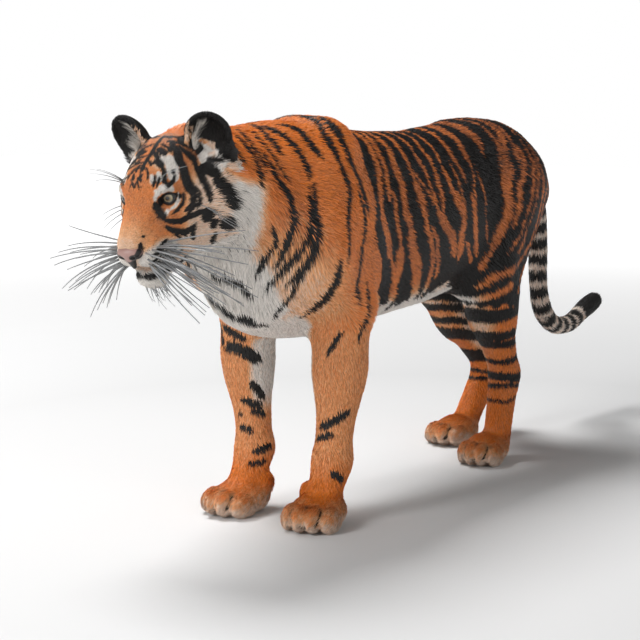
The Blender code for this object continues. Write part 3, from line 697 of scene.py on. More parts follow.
# Behind the shoulder the stripes run close together. The ground is black there from FLANK_FRONT back, and the
# orange between the stripes is laid on it. Ahead and up again, on both sides.
FLANK_FRONT = (
    (190, 430), (215, 455), (252, 520), (282, 550), (288, 590),
    (264, 630), (240, 670), (240, 725), (222, 765), (212, 815),
)
GAPS = (
    (8, (180, 815), (185, 745), (190, 715), (195, 690), (210, 655), (230, 630), (235, 595)),
    (14, (232, 625), (236, 595), (215, 550), (205, 515)),
    (6, (200, 530), (186, 495), (176, 470)),
    (6, (160, 815), (165, 745), (170, 725), (165, 685), (180, 655), (190, 630)),
    (6, (145, 815), (135, 750), (134, 725)),
    (10, (135, 745), (130, 700), (125, 670), (135, 635), (140, 595), (135, 560)),
    (14, (138, 590), (135, 560), (125, 525), (95, 485), (75, 455), (55, 415)),
    (5, (168, 660), (172, 620), (174, 590), (168, 535)),
    (12, (166, 548), (170, 500), (164, 460), (150, 415)),
    (6, (110, 815), (95, 750), (90, 730), (80, 705), (75, 660)),
    (12, (75, 675), (75, 625), (74, 590)),
    (8.5, (75, 605), (70, 565), (55, 535), (35, 505), (25, 470), (18, 425)),
    (5, (60, 815), (50, 750), (45, 730), (35, 705), (25, 680), (25, 600)),
    (12, (24, 612), (5, 580), (-20, 555), (-45, 525), (-56, 500)),
    (3, (70, 690), (55, 665), (40, 645), (30, 612)),
    (6.5, (56, 578), (35, 550), (25, 525), (10, 500), (-3, 462)),
    (6.5, (5, 815), (0, 750), (0, 735), (-10, 710), (-15, 680), (-5, 650), (2, 600), (4, 580)),
    (5, (-75, 815), (-50, 750), (-55, 730), (-55, 665)),
    (9, (-55, 690), (-50, 645), (-60, 612)),
    (17, (-57, 640), (-72, 605), (-80, 580)),
    (12, (-78, 602), (-76, 570), (-70, 545), (-78, 492)),
    (6.5, (-115, 815), (-120, 755), (-120, 735), (-115, 710), (-125, 685), (-125, 655)),
    (4, (-95, 700), (-95, 665), (-90, 640), (-95, 608)),
    (10, (-150, 815), (-165, 765), (-180, 750), (-180, 735), (-175, 715), (-170, 692)),
    (4, (-173, 705), (-166, 665), (-156, 630), (-150, 602)),
    (8, (-205, 815), (-230, 765), (-245, 750), (-250, 735), (-246, 708)),
    (10, (-140, 635), (-140, 595), (-140, 560), (-150, 525), (-176, 490)),
    (6, (-92, 530), (-130, 500), (-158, 476)),
    (3, (-190, 690), (-194, 640), (-197, 580), (-208, 520)),
    (4, (-270, 810), (-290, 775), (-300, 745), (-297, 715), (-291, 685)),
    (6, (-320, 815), (-325, 755), (-315, 735), (-309, 700)),
    (11, (-311, 715), (-300, 670), (-285, 640), (-280, 605), (-260, 570), (-240, 540), (-212, 495)),
    (4, (-345, 815), (-340, 755), (-340, 730), (-329, 690)),
    (5.5, (-348, 730), (-335, 665), (-320, 635), (-305, 595), (-282, 556)),
    (4, (-376, 760), (-364, 695), (-358, 655), (-350, 615), (-325, 570), (-308, 535), (-255, 495)),
    (3.5, (-390, 730), (-378, 690), (-374, 655), (-370, 595), (-350, 552)),
    (6, (-400, 750), (-393, 690), (-401, 640), (-412, 600), (-416, 560), (-398, 512), (-340, 478),
        (-285, 462)),
    (6, (-445, 760), (-438, 670), (-446, 600), (-446, 540), (-420, 485), (-360, 440), (-305, 398)),
    (4, (-385, 810), (-388, 775), (-396, 745)),
    (5, (-425, 790), (-430, 750), (-428, 700)),
    (5, (-484, 745), (-476, 650), (-482, 580), (-470, 510)),
    (6, (-518, 715), (-514, 610), (-505, 520)),
    (5, (-552, 690), (-548, 610)),
    (5, (-212, 500), (-194, 480), (-182, 462)),
    (7, (-185, 428), (-205, 445), (-250, 456), (-300, 468)),
    (10, (-190, 385), (-210, 398), (-238, 415), (-275, 430)),
    (5, (-340, 560), (-330, 520), (-300, 490)),
    (8, (-545, 560), (-520, 500), (-470, 470), (-410, 450)),
    (8, (-530, 470), (-490, 440), (-430, 420), (-380, 405)),
    (8, (-520, 420), (-460, 395), (-400, 380)),
    (5, (-560, 640), (-556, 580)),
)
LEG_BANDS = (  # up at the front and back of a hind leg below the thigh, half width: left leg, then right leg
    (1, (352, 376, 16), (303, 312, 12), (280, 286, 10), (228, 249, 8), (196, 199, 10), (171, 178, 6),
        (136, 146, 4)),
    (-1, (372, 380, 14), (343, 340, 11), (309, 300, 10), (276, 262, 14), (216, 210, 15), (197, 194, 4),
        (173, 168, 5), (153, 150, 5)),
)
TAIL = (  # where the middle of the tail lies, ahead and up
    (-0.540, 0.700), (-0.640, 0.650), (-0.695, 0.560), (-0.715, 0.460), (-0.722, 0.365),
    (-0.750, 0.297), (-0.812, 0.255), (-0.895, 0.249), (-0.972, 0.274), (-1.040, 0.294),
)
RING, TAIL_TIP = 0.0415, 0.105  # from one black ring of the tail to the next, and the length of its black tip
TAIL_FROM, TAIL_REACH = -0.612, 0.05  # the rings lie behind this, and within this of the tail's middle line
NO_BLACK = -0.05  # how far from a stripe's edge the hide counts as plain


def stroke(black, p, normals, half, points, reach=0.028):
    """Raises black to (half width at the nearest point of the stroke) - (distance from it along the hide)."""
    line = np.array(points) / 1000
    flat = p[:, -line.shape[1] :]
    near = np.nonzero(((flat > line.min(0) - reach) & (flat < line.max(0) + reach)).all(1))[0]
    if len(near) == 0:
        return
    lengths = np.linalg.norm(np.diff(line, axis=0), axis=1)
    best, where = np.full(len(near), 1.0), np.zeros(len(near))
    for a, b, length, start in zip(line, line[1:], lengths, np.cumsum(lengths) - lengths):
        q = flat[near] - a
        share = np.clip(q @ (b - a) / length**2, 0.0, 1.0)
        off = np.zeros((len(near), 3))
        off[:, -line.shape[1] :] = q - share[:, None] * (b - a)
        deep = (off * normals[near]).sum(1)
        gap = np.sqrt(np.maximum((off**2).sum(1) - deep**2, 0)) + np.maximum(np.abs(deep) - 0.03, 0)
        closer = gap < best
        best[closer], where[closer] = gap[closer], (start + share * length)[closer]
    taper = 1 - np.abs(2 * where / lengths.sum() - 1) ** 6
    black[near] = np.maximum(black[near], half / 1000 * taper - best)


def along_tail(t):
    """(distance from the tail's middle line, how far along it, its direction there, its whole length)."""
    line = np.array([(0.0, ahead, up) for ahead, up in TAIL])
    lengths = np.linalg.norm(np.diff(line, axis=0), axis=1)
    best, where, way = np.full(len(t), 1.0), np.zeros(len(t)), np.zeros((len(t), 3))
    for a, b, length, start in zip(line, line[1:], lengths, np.cumsum(lengths) - lengths):
        share = np.clip((t - a) @ (b - a) / length**2, 0.0, 1.0)
        gap = np.linalg.norm(t - a - share[:, None] * (b - a), axis=1)
        closer = gap < best
        best[closer], where[closer] = gap[closer], (start + share * length)[closer]
        way[closer] = (b - a) / length
    return best, where, way, lengths.sum()


def bump(q, centre, radius):
    """1 at the centre, falling smoothly to 0 at about twice the radius."""
    return np.exp(-(((q - np.array(centre) / 1000) / (np.array(radius) / 1000)) ** 2).sum(-1))


def turned(normals):
    """World normals in the trunk's frame."""
    return normals * [1, -1, 1]


def face_markings(q, n, side):
    """(black, pale, tone) on the head; q is in the head's frame and side tells left from right."""
    black = np.full(len(q), NO_BLACK)
    wobble = np.stack([ripple(q, 0.05, 7), ripple(q, 0.05, 8), ripple(q, 0.05, 9)], 1) * 0.0016
    p = drawn_back(q)
    p[:, 0] = np.abs(p[:, 0])
    p = p + wobble * np.where(side < 0, 1.8, 0.5)[:, None]
    m = n * 1.0
    m[:, 0] *= side
    for half, *points in FACE_PAIRED:
        stroke(black, p, m, half, points)
    for half, *points in FACE_SINGLE:
        stroke(black, q, n, half, points)
    rim = 0.0040 + 0.0030 * smooth_step(0.044, 0.032, p[:, 0]) + 0.0014 * smooth_step(0.0, -0.008, p[:, 2])
    round_eye = np.linalg.norm(p - [EYE_SIDE, 0.004, 0.0], axis=1) < 0.032
    black = np.where(round_eye, np.maximum(black, rim - opening(p)), black)

    pale = 0.08 + 0.52 * smooth_step(0.060, 0.078, p[:, 0] - 0.20 * np.minimum(p[:, 2] + 0.02, 0))
    pale += 0.30 * smooth_step(0.045, 0.080, p[:, 1]) + 0.16 * smooth_step(0.080, 0.098, p[:, 1])
    pale = np.maximum(pale, 0.95 * bump(p, (30, -28, 58), (14, 22, 16)))
    pale = np.maximum(pale, 0.95 * smooth_step(0.0, 0.5, bump(p, (36, 60, -84), (30, 42, 24))))
    pale = np.maximum(pale, 0.62 * smooth_step(-0.050, -0.075, p[:, 2]))
    pale = np.maximum(pale, smooth_step(-0.095, -0.115, p[:, 2]))
    ruff = smooth_step(0.098, 0.112, p[:, 0]) * smooth_step(0.030, 0.0, p[:, 2])
    pale = np.maximum(pale, ruff)
    white = np.full(len(q), NO_BLACK)
    for half, *points in (
        (12, (36, -44, 60), (48, -30, 46), (56, -12, 22)),
        (5, (36, 14, 24), (48, 6, 20), (60, -6, 14)),
        (5, (25, 4, 47), (31, 18, 33)),
        (5, (34, -6, 48), (40, 10, 34)),
        (5.5, (33, 22, 24), (38, 20, 18), (33, 27, 4)),
        (2.8, (62, -14, 7), (61, -4, -7), (57, 7, -15), (50, 16, -19)),
        (4.0, (50, 18, -16), (44, 25, -24)),
        (12, (56, -95, 54), (84, -98, 32), (108, -97, 6)),
    ):
        stroke(white, p, m, half, points)
    pale = np.maximum(pale, smooth_step(-0.0015, 0.0015, white))
    tone = 0.42 + 0.12 * ripple(q, 0.02, 11) + 0.14 * ripple(q, 0.006, 18)
    tone += 0.18 * smooth_step(-0.02, -0.09, p[:, 1])
    tone += 0.35 * bump(p, (40, 26, -26), (14, 16, 12))
    freckles = 0.0025 * ripple(q, 0.0035, 5) - 0.0035
    black = np.maximum(black, freckles + 0.0042 * bump(p, (38, 32, -18), (14, 14, 14)))

    ear = ear_form(p)
    inside = smooth_step(0.45, 0.7, m @ EAR_OPENS)
    level = p[:, 2] + 0.45 * (p[:, 0] - 0.084) + 0.020 * (1 - inside)
    on_ear = smooth_step(0.042, 0.050, level) * smooth_step(0.012, 0.006, ear)
    back = np.linalg.norm((p - [0.090, -0.130, 0.070]) * [1, 0.5, 1], axis=1)
    spot = smooth_step(0.0150, 0.0115, back) * smooth_step(-0.3, -0.5, m[:, 1])
    black = np.maximum(black, np.where(on_ear * (1 - inside) * (1 - spot) > 0.5, 0.01, NO_BLACK))
    # Painted shade in the ear's hollow: inside the cup, all but a strip along its inner edge is painted
    # black.
    ear_hollow_shade = 0.25 * (p[:, 0] - 0.053 - 0.15 * (p[:, 2] - 0.06)) + 0.0015 * ripple(q, 0.008, 15)
    black = np.where(on_ear * inside > 0.5, ear_hollow_shade, black)
    pale = mix(pale, np.where(spot > 0.5, 1.0, 0.55), on_ear * np.maximum(inside, spot))
    tone = mix(tone, 1.0, on_ear * inside)
    return black, pale, tone


def markings(places, normals):
    """(black in metres from the edge of a stripe or of painted shade, pale from 0 to 1, tone from 0, bright
    orange, to 1, brown, which also paints shade in the toe creases).
    """
    t = in_trunk(places)
    n = turned(normals)
    left, ahead, up = t.T
    side = np.where(left < 0, -1.0, 1.0)
    black = np.full(len(t), NO_BLACK)
    p = t * 1.0
    p[:, 0] = np.abs(left)
    wobble = np.stack([ripple(t, 0.16, 1), ripple(t, 0.10, 2), ripple(t, 0.16, 3)], 1) * [0.001, 0.006, 0.004]
    p = p + wobble * np.where(side < 0, 2.0, 0.8)[:, None] + (side < 0)[:, None] * [0, 0.014, 0]
    m = n * 1.0
    m[:, 0] *= side
    for half, *points in HIDE_PAIRED:
        stroke(black, p, m, half, points)
    for half, *points in HIDE_SINGLE:
        stroke(black, t, n, half, points)

    flank = np.full(len(t), NO_BLACK)
    for half, *points in FLANK:
        stroke(flank, p, m, half, points)
    gaps = np.full(len(t), NO_BLACK)
    for half, *points in GAPS:
        stroke(gaps, p, m, half, points)
    front = np.array(FLANK_FRONT)[:, ::-1] / 1000
    ends = np.interp(ahead, [-0.20, -0.10, 0.05, 0.20], [0.372, 0.440, 0.425, 0.418])
    ends += 0.012 * ripple(t, 0.05, 14)
    behind = np.minimum(np.interp(p[:, 2], *front.T) - p[:, 1], up - ends)
    behind = np.minimum(behind, -gaps + 0.0012 * ripple(t, 0.035, 4))
    black = np.maximum(black, np.maximum(flank, behind))

    hind = smooth_step(-0.12, -0.16, ahead) * smooth_step(0.400, 0.385, up)
    for which, *bands in LEG_BANDS:
        foot = HIND_LEFT if which > 0 else HIND_RIGHT
        for front, rear, half in bands:
            level = mix(front, rear, smooth_step(foot + 0.05, foot - 0.12, ahead)) / 1000
            gap = np.abs(up - level - 0.003 * ripple(t, 0.08, front))
            fade = 1.0 if half > 6 else smooth_step(-0.6, 0.3, n[:, 1] + m[:, 0] * 0.4)
            band = np.where((side == which) & (hind > 0), half / 1000 * fade - gap, NO_BLACK)
            black = np.maximum(black, band)

    gap, where, _, length = along_tail(t)
    on_tail = (gap < TAIL_REACH) & (ahead < TAIL_FROM)
    swing = np.abs(((where - 0.024) / RING) % 1.0 - 0.5) * RING
    rings = 0.0137 - swing + 0.002 * ripple(t, 0.02, 6)
    rings = np.maximum(rings, where - (length - TAIL_TIP))
    black = np.where(on_tail, rings, black)

    edge = np.interp(
        up,
        [0.33, 0.40, 0.441, 0.468, 0.528, 0.568, 0.643, 0.691],
        [0.60, 0.475, 0.462, 0.490, 0.519, 0.568, 0.590, 0.589],
    )
    pale = smooth_step(-0.022, 0.022, ahead - edge) * smooth_step(0.705, 0.675, up)
    pale *= np.maximum(smooth_step(0.125, 0.085, np.abs(left)), smooth_step(0.49, 0.54, up))
    middle = smooth_step(0.095, 0.060, np.abs(left)) * smooth_step(0.35, 0.39, up)
    middle *= smooth_step(0.22, 0.30, ahead)
    pale = np.maximum(pale, middle * smooth_step(0.56, 0.50, up))
    tan = smooth_step(-0.14, 0.0, ahead - edge) * smooth_step(0.66, 0.52, up) * 0.5
    foreleg = 0.22 * smooth_step(0.08, 0.15, up) * smooth_step(0.46, 0.36, up)
    foreleg *= smooth_step(0.0, 0.1, ahead)
    tan = np.maximum(tan, foreleg)
    pale = np.maximum(pale, tan)
    belly_top = np.interp(ahead, [-0.20, -0.05, 0.07, 0.15, 0.32], [0.462, 0.432, 0.415, 0.405, 0.390])
    belly = smooth_step(0.012, -0.012, up - belly_top) * smooth_step(0.39, 0.33, ahead)
    belly *= smooth_step(-0.20, -0.15, ahead)
    belly *= smooth_step(-0.10, -0.40, n[:, 2]) * smooth_step(0.350, 0.370, up)
    under = smooth_step(-0.45, -0.75, n[:, 2]) * smooth_step(0.345, 0.36, up)
    under *= np.maximum(smooth_step(0.105, 0.075, np.abs(left)), smooth_step(0.32, 0.28, ahead))
    pale = np.maximum(pale, np.maximum(belly, under))
    inner = smooth_step(-0.45, -0.85, m[:, 0]) * smooth_step(0.17, 0.26, up) * smooth_step(0.52, 0.46, up)
    pale = np.maximum(pale, inner * np.where(ahead > 0, 0.85, 0.6))
    thigh = smooth_step(0.55, 0.9, n[:, 1]) * smooth_step(0.43, 0.40, up) * smooth_step(0.25, 0.32, up)
    thigh *= ahead < -0.1
    pale = np.maximum(pale, 0.55 * thigh)
    toes = smooth_step(0.066, 0.012, up + 0.008 * ripple(t, 0.012, 16))
    pale = np.maximum(pale, 0.66 * toes)
    pale = np.where(on_tail, 0.72, pale)

    tone = 0.36 + 0.10 * ripple(t, 0.10, 12)
    tone += 0.22 * smooth_step(0.36, 0.16, ahead) * smooth_step(0.40, 0.50, up)
    tone += 0.22 * bump(p, (150, 520, 600), (60, 60, 90))
    tone -= 0.20 * smooth_step(0.70, 0.76, up)
    tone -= 0.20 * smooth_step(0.24, 0.10, up)
    tone += 0.16 * ripple(t, 0.010, 17) * smooth_step(0.16, 0.08, up)
    tone += 0.28 * smooth_step(-0.05, -0.22, ahead) * smooth_step(0.62, 0.72, up)
    # Painted shade in the creases between the toes: browner near them, and black along their middle.
    for place_left, place_ahead, heading, width in PAWS:
        near, paw = in_paw(places, place_left, place_ahead, heading)
        for place in (-1.0, 0.0, 1.0):
            crease_shade_gap = crease(paw, width, place)
            tone[near] += 0.8 * smooth_step(0.010, 0.001, crease_shade_gap)
            black[near] = np.maximum(black[near], 0.0004 - crease_shade_gap)

    q = in_head(places)
    w = smooth_step(-0.118, -0.100, q[:, 1] - 0.35 * np.minimum(q[:, 2] + 0.10, 0.0))
    w *= smooth_step(-0.185, -0.165, q[:, 2]) * smooth_step(0.50, 0.56, ahead)
    mirrored = on_left(q)
    ear = (ear_form(mirrored) < EAR_SKIN) & (q[:, 2] > 0.03)
    ear |= egg(mirrored, (0.099, -0.130, 0.022), (0.024, 0.026, 0.038)) < 0
    w = np.where(ear, 1.0, w)
    near = np.nonzero(w > 0)[0]
    head_normals = normals[near] @ HEAD * [1, -1, 1]
    head_side = np.where(q[near, 0] < 0, -1.0, 1.0)
    face_black, face_pale, face_tone = face_markings(q[near], head_normals, head_side)
    black[near] = np.where(w[near] > 0.5, np.maximum(face_black, NO_BLACK), black[near])
    pale[near] = mix(pale[near], face_pale, w[near])
    tone[near] = mix(tone[near], face_tone, w[near])
    return black, np.clip(pale, 0, 1), np.clip(tone, 0, 1)


def coat_here(places, normals):
    """(the way the hair lies, its length, width and lift, and how thickly it grows) at places on the skin."""
    t = in_trunk(places)
    _, ahead, up = t.T
    n = turned(normals)
    count = len(t)
    way = np.stack([np.zeros(count), np.full(count, -1.0), np.full(count, -0.50)], 1)
    length, width = np.full(count, 0.016), np.full(count, 0.0021)
    lift, growth = np.full(count, 0.20), np.full(count, 0.24)

    def lay(share, lies=None, long=None, wide=None, lifts=None, grows=None):
        nonlocal way, length, width, lift, growth
        if lies is not None:
            way = mix(way, np.broadcast_to(lies, way.shape), share[:, None])
        length = length if long is None else mix(length, long, share)
        width = width if wide is None else mix(width, wide, share)
        lift = lift if lifts is None else mix(lift, lifts, share)
        growth = growth if grows is None else mix(growth, grows, share)

    lay(smooth_step(0.74, 0.79, up), lies=(0, -1, -0.05), long=0.017)
    neck = smooth_step(0.42, 0.56, ahead) * smooth_step(0.46, 0.56, up)
    lay(neck, lies=(0, -0.8, -0.75), long=0.022, lifts=0.26)
    chest = smooth_step(0.35, 0.75, n[:, 1]) * smooth_step(0.30, 0.40, ahead) * smooth_step(0.36, 0.42, up)
    lay(chest, lies=(0, -0.2, -1.0), long=0.026, lifts=0.26)
    under = smooth_step(0.465, 0.435, up) * smooth_step(0.36, 0.40, up) * smooth_step(0.40, 0.30, ahead)
    lay(under, lies=(0, -1.0, -0.5), long=0.026, lifts=0.30)
    thigh = smooth_step(-0.12, -0.30, ahead) * smooth_step(0.66, 0.45, up)
    lay(thigh, lies=(0, -0.45, -1.0), long=0.017)
    leg = smooth_step(0.43, 0.37, up)
    lay(leg, lies=(0, -0.15, -1.0), long=0.011, wide=0.0018, lifts=0.18, grows=0.26)
    paw = smooth_step(0.085, 0.060, up)
    lay(paw, lies=(0, 0.9, -0.55), long=0.0105, wide=0.0013, lifts=0.40, grows=0.60)
    gap, _, tail_way, _ = along_tail(t)
    on_tail = smooth_step(0.050, 0.045, gap) * smooth_step(-0.60, -0.63, ahead)
    lay(on_tail, lies=tail_way, long=0.020, wide=0.0016, lifts=0.32, grows=0.40)

    q = in_head(places)
    w = smooth_step(-0.150, -0.110, q[:, 1] - 0.35 * np.minimum(q[:, 2] + 0.10, 0.0))
    w *= smooth_step(-0.19, -0.16, q[:, 2]) * smooth_step(0.50, 0.56, ahead)
    p = q * 1.0
    p[:, 0] = np.abs(p[:, 0])
    on_ear = (ear_form(p) < EAR_SKIN) & (q[:, 2] > 0.03)
    w = np.where(on_ear, 1.0, w)
    out = q - [0, 0.115, -0.045]
    out[:, 2] *= 0.8
    out = way_from_head(out)
    out /= np.linalg.norm(out, axis=1, keepdims=True)
    lay(w, lies=out, long=0.0050, wide=0.0009, lifts=0.24, grows=0.80)
    cheek = w * smooth_step(0.060, 0.090, p[:, 0]) * smooth_step(0.04, 0.0, p[:, 2])
    lay(cheek, long=0.009, lifts=0.26)
    ruff = w * smooth_step(0.092, 0.112, p[:, 0]) * smooth_step(0.03, -0.01, p[:, 2])
    ruff = np.maximum(ruff, w * smooth_step(-0.100, -0.125, p[:, 2]) * smooth_step(0.0, -0.03, p[:, 1]))
    down = way_from_head((0, -0.55, -0.85))
    lay(ruff, lies=down, long=0.030, wide=0.0014, lifts=0.32, grows=0.5)
    chin = w * bump(q, (0, 46, -136), (26, 30, 20))
    beard = way_from_head((0, -0.25, -1))
    lay(np.clip(chin * 1.5, 0, 1), lies=beard, long=0.026, wide=0.0013, lifts=0.65, grows=1.1)
    nose_top = w * smooth_step(0.060, 0.085, p[:, 1]) * smooth_step(-0.10, -0.09, p[:, 2])
    lay(nose_top, long=0.0032, grows=1.0)
    near_eye = w * smooth_step(0.012, 0.006, opening(p)) * smooth_step(0.03, 0.02, np.abs(p[:, 1]))
    lay(near_eye, long=0.0026, wide=0.0006, lifts=0.14, grows=1.3)
    fringe = w * np.maximum(bump(p, (66, -96, 48), (18, 16, 16)), bump(p, (96, -98, 20), (18, 16, 18)))
    lay(np.clip(fringe * 1.2, 0, 1), long=0.020, lifts=0.45, wide=0.0012)
    to_tip = way_from_head((0.30, -0.05, 0.9))
    ear = on_ear * smooth_step(0.048, 0.058, q[:, 2])
    lay(ear, lies=to_tip, long=0.0060, wide=0.0010, lifts=0.24, grows=0.6)
    hole = (opening(p) < 0.0005) & (np.abs(p - [EYE_SIDE, 0.004, 0]) < 0.02).all(1)
    p = drawn_back(p)
    mouth = np.full(count, NO_BLACK)
    stroke(mouth, p, np.zeros_like(n), 4.4, [np.array(point) * 1000 for point, _ in LIP])
    nose = egg(p, (0, 0.088, -0.062), (0.021, 0.016, 0.018)) < 0.002
    bare = hole | ((mouth > -0.0005) & (w > 0.5)) | nose | (places[:, 2] < 0.004)
    return way * [1, -1, 1], length, width, lift, np.where(bare, 0.0, growth)


def point_colours(obj, name, values):
    """Keeps four numbers on each vertex as a colour attribute."""
    attribute = obj.data.attributes.new(name, "FLOAT_COLOR", "POINT")
    attribute.data.foreach_set("color", np.ascontiguousarray(values, np.float32).ravel())


def fur_colour(material, black_edge):
    """(the colour of the hide and its hair, the attribute it is read from: black edge, pale, tone, share)."""
    reads = add_node(material, "ShaderNodeAttribute", attribute_name="coat")
    parts = add_node(material, "ShaderNodeSeparateColor", {"Color": reads.outputs["Color"]})
    ground = add_node(material, "ShaderNodeValToRGB", {"Fac": parts.outputs["Blue"]})
    ramp = ground.color_ramp
    ramp.elements[0].position, ramp.elements[0].color = 0.0, linear("e0761c")
    ramp.elements[1].position, ramp.elements[1].color = 1.0, linear("6a3d22")
    ramp.elements.new(0.4).color = linear("dc8040")
    ramp.elements.new(0.7).color = linear("b0643a")
    whitens = add_node(material, "ShaderNodeValToRGB", {"Fac": parts.outputs["Green"]})
    ramp = whitens.color_ramp
    ramp.elements[0].position, ramp.elements[0].color = 0.35, linear("eab07c")
    ramp.elements[1].position, ramp.elements[1].color = 0.85, linear("e2dcd5")
    share = add_node(material, "ShaderNodeMapRange", {"Value": parts.outputs["Green"]}, From_Max=0.45)
    light = add_node(
        material,
        "ShaderNodeMixRGB",
        {"Fac": share.outputs[0], "Color1": ground.outputs["Color"], "Color2": whitens.outputs["Color"]},
    )
    edge = add_node(
        material,
        "ShaderNodeMapRange",
        {"Value": parts.outputs["Red"]},
        From_Min=-black_edge,
        From_Max=black_edge,
    )
    marked = add_node(
        material,
        "ShaderNodeMixRGB",
        {"Fac": edge.outputs[0], "Color1": light.outputs["Color"]},
        Color2=linear("1b1918"),
    )
    return marked, reads


BLACK_SCALE = 20.0  # the attribute keeps a stripe's edge in units of 50 mm


def hide_material():
    """Short dense under-fur: matt, and rough with hairs a few millimetres long drawn as fine bumps."""
    material, shader = new_material("short under-fur", Roughness=0.75, IOR=1.5, Specular_IOR_Level=0.3)
    colour, _ = fur_colour(material, 0.001 * BLACK_SCALE)
    places = add_node(material, "ShaderNodeTexCoord")
    hairs = add_node(
        material, "ShaderNodeTexNoise", {"Vector": places.outputs["Object"]}, Scale=450.0, Detail=3.0
    )
    bumps = add_node(material, "ShaderNodeBump", {"Height": hairs.outputs[0]}, Strength=0.35, Distance=0.002)
    darker = add_node(
        material,
        "ShaderNodeMixRGB",
        {"Color1": colour.outputs["Color"], "Fac": hairs.outputs[0]},
        blend_type="MULTIPLY",
        Color2=linear("9a9490"),
    )
    material.node_tree.links.new(darker.outputs["Color"], shader.inputs["Base Color"])
    material.node_tree.links.new(bumps.outputs["Normal"], shader.inputs["Normal"])
    return material


def hair_material(name, roughness):
    """Guard hair, keratin of IOR about 1.55: smooth strands that shine softly; painted shade at the roots,
    painted light at the tips.
    """
    material, shader = new_material(name, Roughness=roughness, IOR=1.55, Specular_IOR_Level=0.3)
    colour, reads = fur_colour(material, 0.0004 * BLACK_SCALE)
    # Painted shade and light along each tuft: the colour is scaled from 0.58 at the root up to 1.34 at the
    # brightest tips.
    share = add_node(
        material,
        "ShaderNodeMapRange",
        {"Value": reads.outputs["Alpha"]},
        From_Max=1.3,
        To_Min=0.58,
        To_Max=1.34,
    )
    tuft_shade_and_light = add_node(material, "ShaderNodeVectorMath", operation="SCALE")
    material.node_tree.links.new(colour.outputs["Color"], tuft_shade_and_light.inputs[0])
    material.node_tree.links.new(share.outputs[0], tuft_shade_and_light.inputs["Scale"])
    material.node_tree.links.new(tuft_shade_and_light.outputs[0], shader.inputs["Base Color"])
    return material


def vertex_array(obj):
    co = np.zeros(len(obj.data.vertices) * 3, np.float32)
    obj.data.vertices.foreach_get("co", co)
    return co.reshape(-1, 3).astype(float)


def vertex_normals(obj):
    normals = np.zeros(len(obj.data.vertices) * 3, np.float32)
    obj.data.vertex_normals.foreach_get("vector", normals)
    return normals.reshape(-1, 3).astype(float)


skin_places, skin_normals = vertex_array(skin), vertex_normals(skin)
black, pale, tone = markings(skin_places, skin_normals)
point_colours(skin, "coat", np.stack([black * BLACK_SCALE, pale, tone, np.full(len(black), 0.5)], 1))
skin.data.materials.append(hide_material())
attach(skin, "root")
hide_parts(*FLESH)

# ---------------------------------------------------------------- coat
# Guard hairs in flat pointed tufts, each rooted in the skin, bent over to lie along the body and overlapping
# the next like tiles. Long on ruff, throat and belly, short on face and paws.

TUFTS_PER_SQUARE_METRE = 700000
PATCH = 0.003  # a tuft's width and height on the coat's own unwrap
TUFT_POINTS = 5  # two at the root, two where it bends and its tip


def coat_regions(t, q):
    """The name of the coat's piece at each place, in the trunk's and the head's frames."""
    _, ahead, up = t.T
    names = np.full(len(t), "coat_barrel", dtype="<U18")
    names[ahead < 0.02] = "coat_loin"
    names[(ahead < -0.22) & (up >= 0.55)] = "coat_rump"
    names[(ahead < -0.12) & (up < 0.55)] = "coat_thighs"
    names[ahead > 0.27] = "coat_shoulders"
    names[ahead > 0.43] = "coat_neck"
    names[(up < 0.40) & (ahead > 0)] = "coat_forelegs"
    names[(up < 0.37) & (ahead < 0)] = "coat_hind_legs"
    names[up < 0.085] = "coat_paws"
    gap = along_tail(t)[0]
    names[(gap < TAIL_REACH) & (ahead < TAIL_FROM)] = "coat_tail"
    head = (q[:, 1] > -0.135) & (q[:, 2] > -0.18) & (ahead > 0.53)
    names[head] = "coat_head"
    names[head & (q[:, 1] > -0.030)] = "coat_face"
    names[(ear_form(on_left(q)) < EAR_SKIN) & (q[:, 2] > 0.045)] = "coat_ears"
    return names


def around(places, names):
    """Each place on its piece's own unwrap: how far round its limb's axis, and how far along it."""
    t = in_trunk(places)
    u, v = np.zeros(len(t)), np.zeros(len(t))
    for name in np.unique(names):
        mine = np.nonzero(names == name)[0]
        p = t[mine]
        legs = name in ("coat_forelegs", "coat_hind_legs", "coat_paws", "coat_thighs", "coat_ears")
        length_axis = 2 if legs else 1
        round_turn = np.zeros(len(mine))
        if legs:
            quarter = (p[:, 0] > 0) * 1 + (p[:, 1] > 0) * 2
            quarters = np.unique(quarter)
            for number, which in enumerate(quarters):
                own = np.nonzero(quarter == which)[0]
                bins = np.clip((p[own, 2] * 25).astype(int), 0, 40)
                for level in np.unique(bins):
                    here = own[bins == level]
                    centre = (p[here].min(0) + p[here].max(0)) / 2
                    angle = np.arctan2(p[here, 0] - centre[0], p[here, 1] - centre[1]) / (2 * math.pi) + 0.5
                    round_turn[here] = (number + 0.02 + 0.96 * angle) / len(quarters)
        elif name == "coat_tail":
            where = along_tail(p)[1]
            up_side = p[:, 2] - np.interp(-p[:, 1], [-a for a, _ in TAIL], [z for _, z in TAIL])
            round_turn = np.arctan2(p[:, 0], up_side) / (2 * math.pi) + 0.5
            p = p * 1.0
            p[:, 1] = where
        else:
            centre_up = (p[:, 2].min() + p[:, 2].max()) / 2
            round_turn = np.arctan2(p[:, 0], p[:, 2] - centre_up) / (2 * math.pi) + 0.5
        along = p[:, length_axis]
        u[mine] = round_turn
        v[mine] = (along - along.min()) / max(np.ptp(along), 1e-6)
    margin = 2 * PATCH
    return margin + u * (1 - 2 * margin), margin + v * (1 - 2 * margin)


